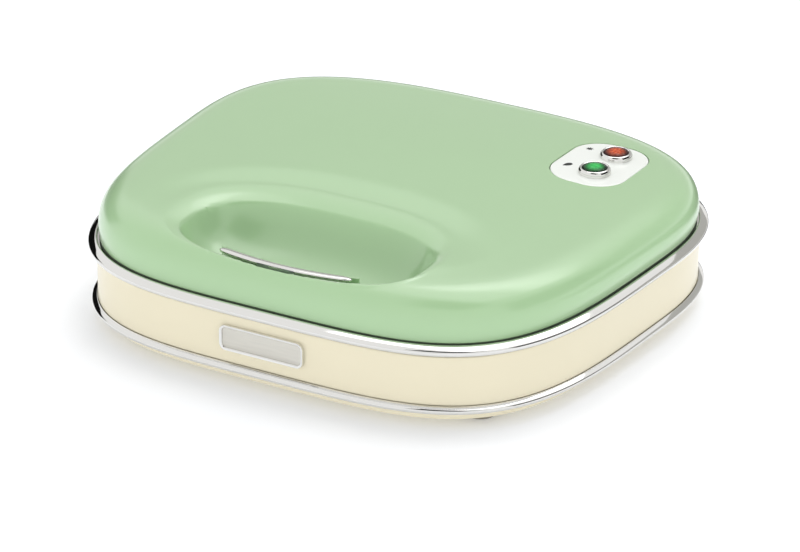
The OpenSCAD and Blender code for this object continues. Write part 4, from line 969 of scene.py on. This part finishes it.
def bar_sweep(name):
    """The bar: a rounded section carried along its arc, narrowing to rounded ends. Width and height at a
    share s of the half length are scaled by (1 - |s|^16)^(1/2)."""
    s = np.sin(np.linspace(-math.pi / 2, math.pi / 2, 121))
    s[0], s[-1] = -1, 1
    size = np.clip((1 - np.abs(s) ** 16) ** 0.5, 0.02, 1)
    a = np.linspace(0, 2 * math.pi, 28, endpoint=False)
    across = np.sign(np.cos(a)) * np.abs(np.cos(a)) ** 0.6 * (BAR_FRONT_R - BAR_REAR_R) / 2
    up = np.sign(np.sin(a)) * np.abs(np.sin(a)) ** 0.75 * BAR_T / 2
    angle = (s[:, None] * BAR_HALF_L + BAR_SHIFT) / BAR_FRONT_R
    radius = (BAR_FRONT_R + BAR_REAR_R) / 2 + across[None] * size[:, None]
    z = BAR_TOP - BAR_T / 2 + up[None] * size[:, None]
    points = np.stack([radius * np.sin(angle), BAR_CENTRE_Y - radius * np.cos(angle), z], -1)
    return capped(name, points)


def across_x(name, section, half_l):
    """A closed section of (y, z) points carried straight across the middle line, with chamfered ends."""
    p = np.asarray(section, float)
    middle = p.mean(0)
    rows = [np.column_stack([np.full(len(p), x), middle + (p - middle) * size]) for x, size in
            ((-half_l, 0.9), (-half_l + 0.3, 1), (half_l - 0.3, 1), (half_l, 0.9))]
    return capped(name, np.array(rows))


# The pin's middle is half the sum of its box's corners, in mm
PIN = [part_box("latch_pin")[0] * 500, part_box("latch_pin")[1] * 500]
PIVOT_Y, PIVOT_Z = PIN[0].y + PIN[1].y - BODY_Y, PIN[0].z + PIN[1].z
WEB_T, WEB_HALF_L, KNUCKLE_R = 2.4, 9.5, 2.4
HOOK_T, HOOK_HALF_L, NOSE_REACH, NOSE_T, NOSE_ROOT = 2.8, 8, 2.8, 1, 2.4
HOOK_FRONT = PIVOT_Y - HOOK_T / 2
HOOK_TOP, HOOK_NOSE, HOOK_REAR = BAND_TOP - LID_WALL - 2.4, HOOK_FRONT - NOSE_REACH, HOOK_FRONT + HOOK_T
dress(bar_sweep("latch_bar"), chrome, "latch", "chrome", "latch_lever")
turn = np.linspace(math.radians(120), math.radians(420), 20)
web = across_x("latch_web", np.vstack([
    [(PIVOT_Y + WEB_T / 2, BAR_TOP - 0.5), (PIVOT_Y - WEB_T / 2, BAR_TOP - 0.5)],
    np.column_stack([PIVOT_Y + KNUCKLE_R * np.cos(turn), PIVOT_Z + KNUCKLE_R * np.sin(turn)])]), WEB_HALF_L)
steel = cad["latch_keeper"].data.materials[0]
dress(web, steel, "latch", "chrome")
hook = across_x("latch_hook", [
    (HOOK_REAR, PIVOT_Z), (HOOK_FRONT, PIVOT_Z), (HOOK_FRONT, HOOK_TOP), (HOOK_NOSE, HOOK_TOP),
    (HOOK_NOSE, HOOK_TOP - NOSE_T), (HOOK_FRONT, HOOK_TOP - NOSE_ROOT), (HOOK_REAR, HOOK_TOP - NOSE_ROOT)],
    HOOK_HALF_L)
dress(hook, steel, "latch", "chrome")
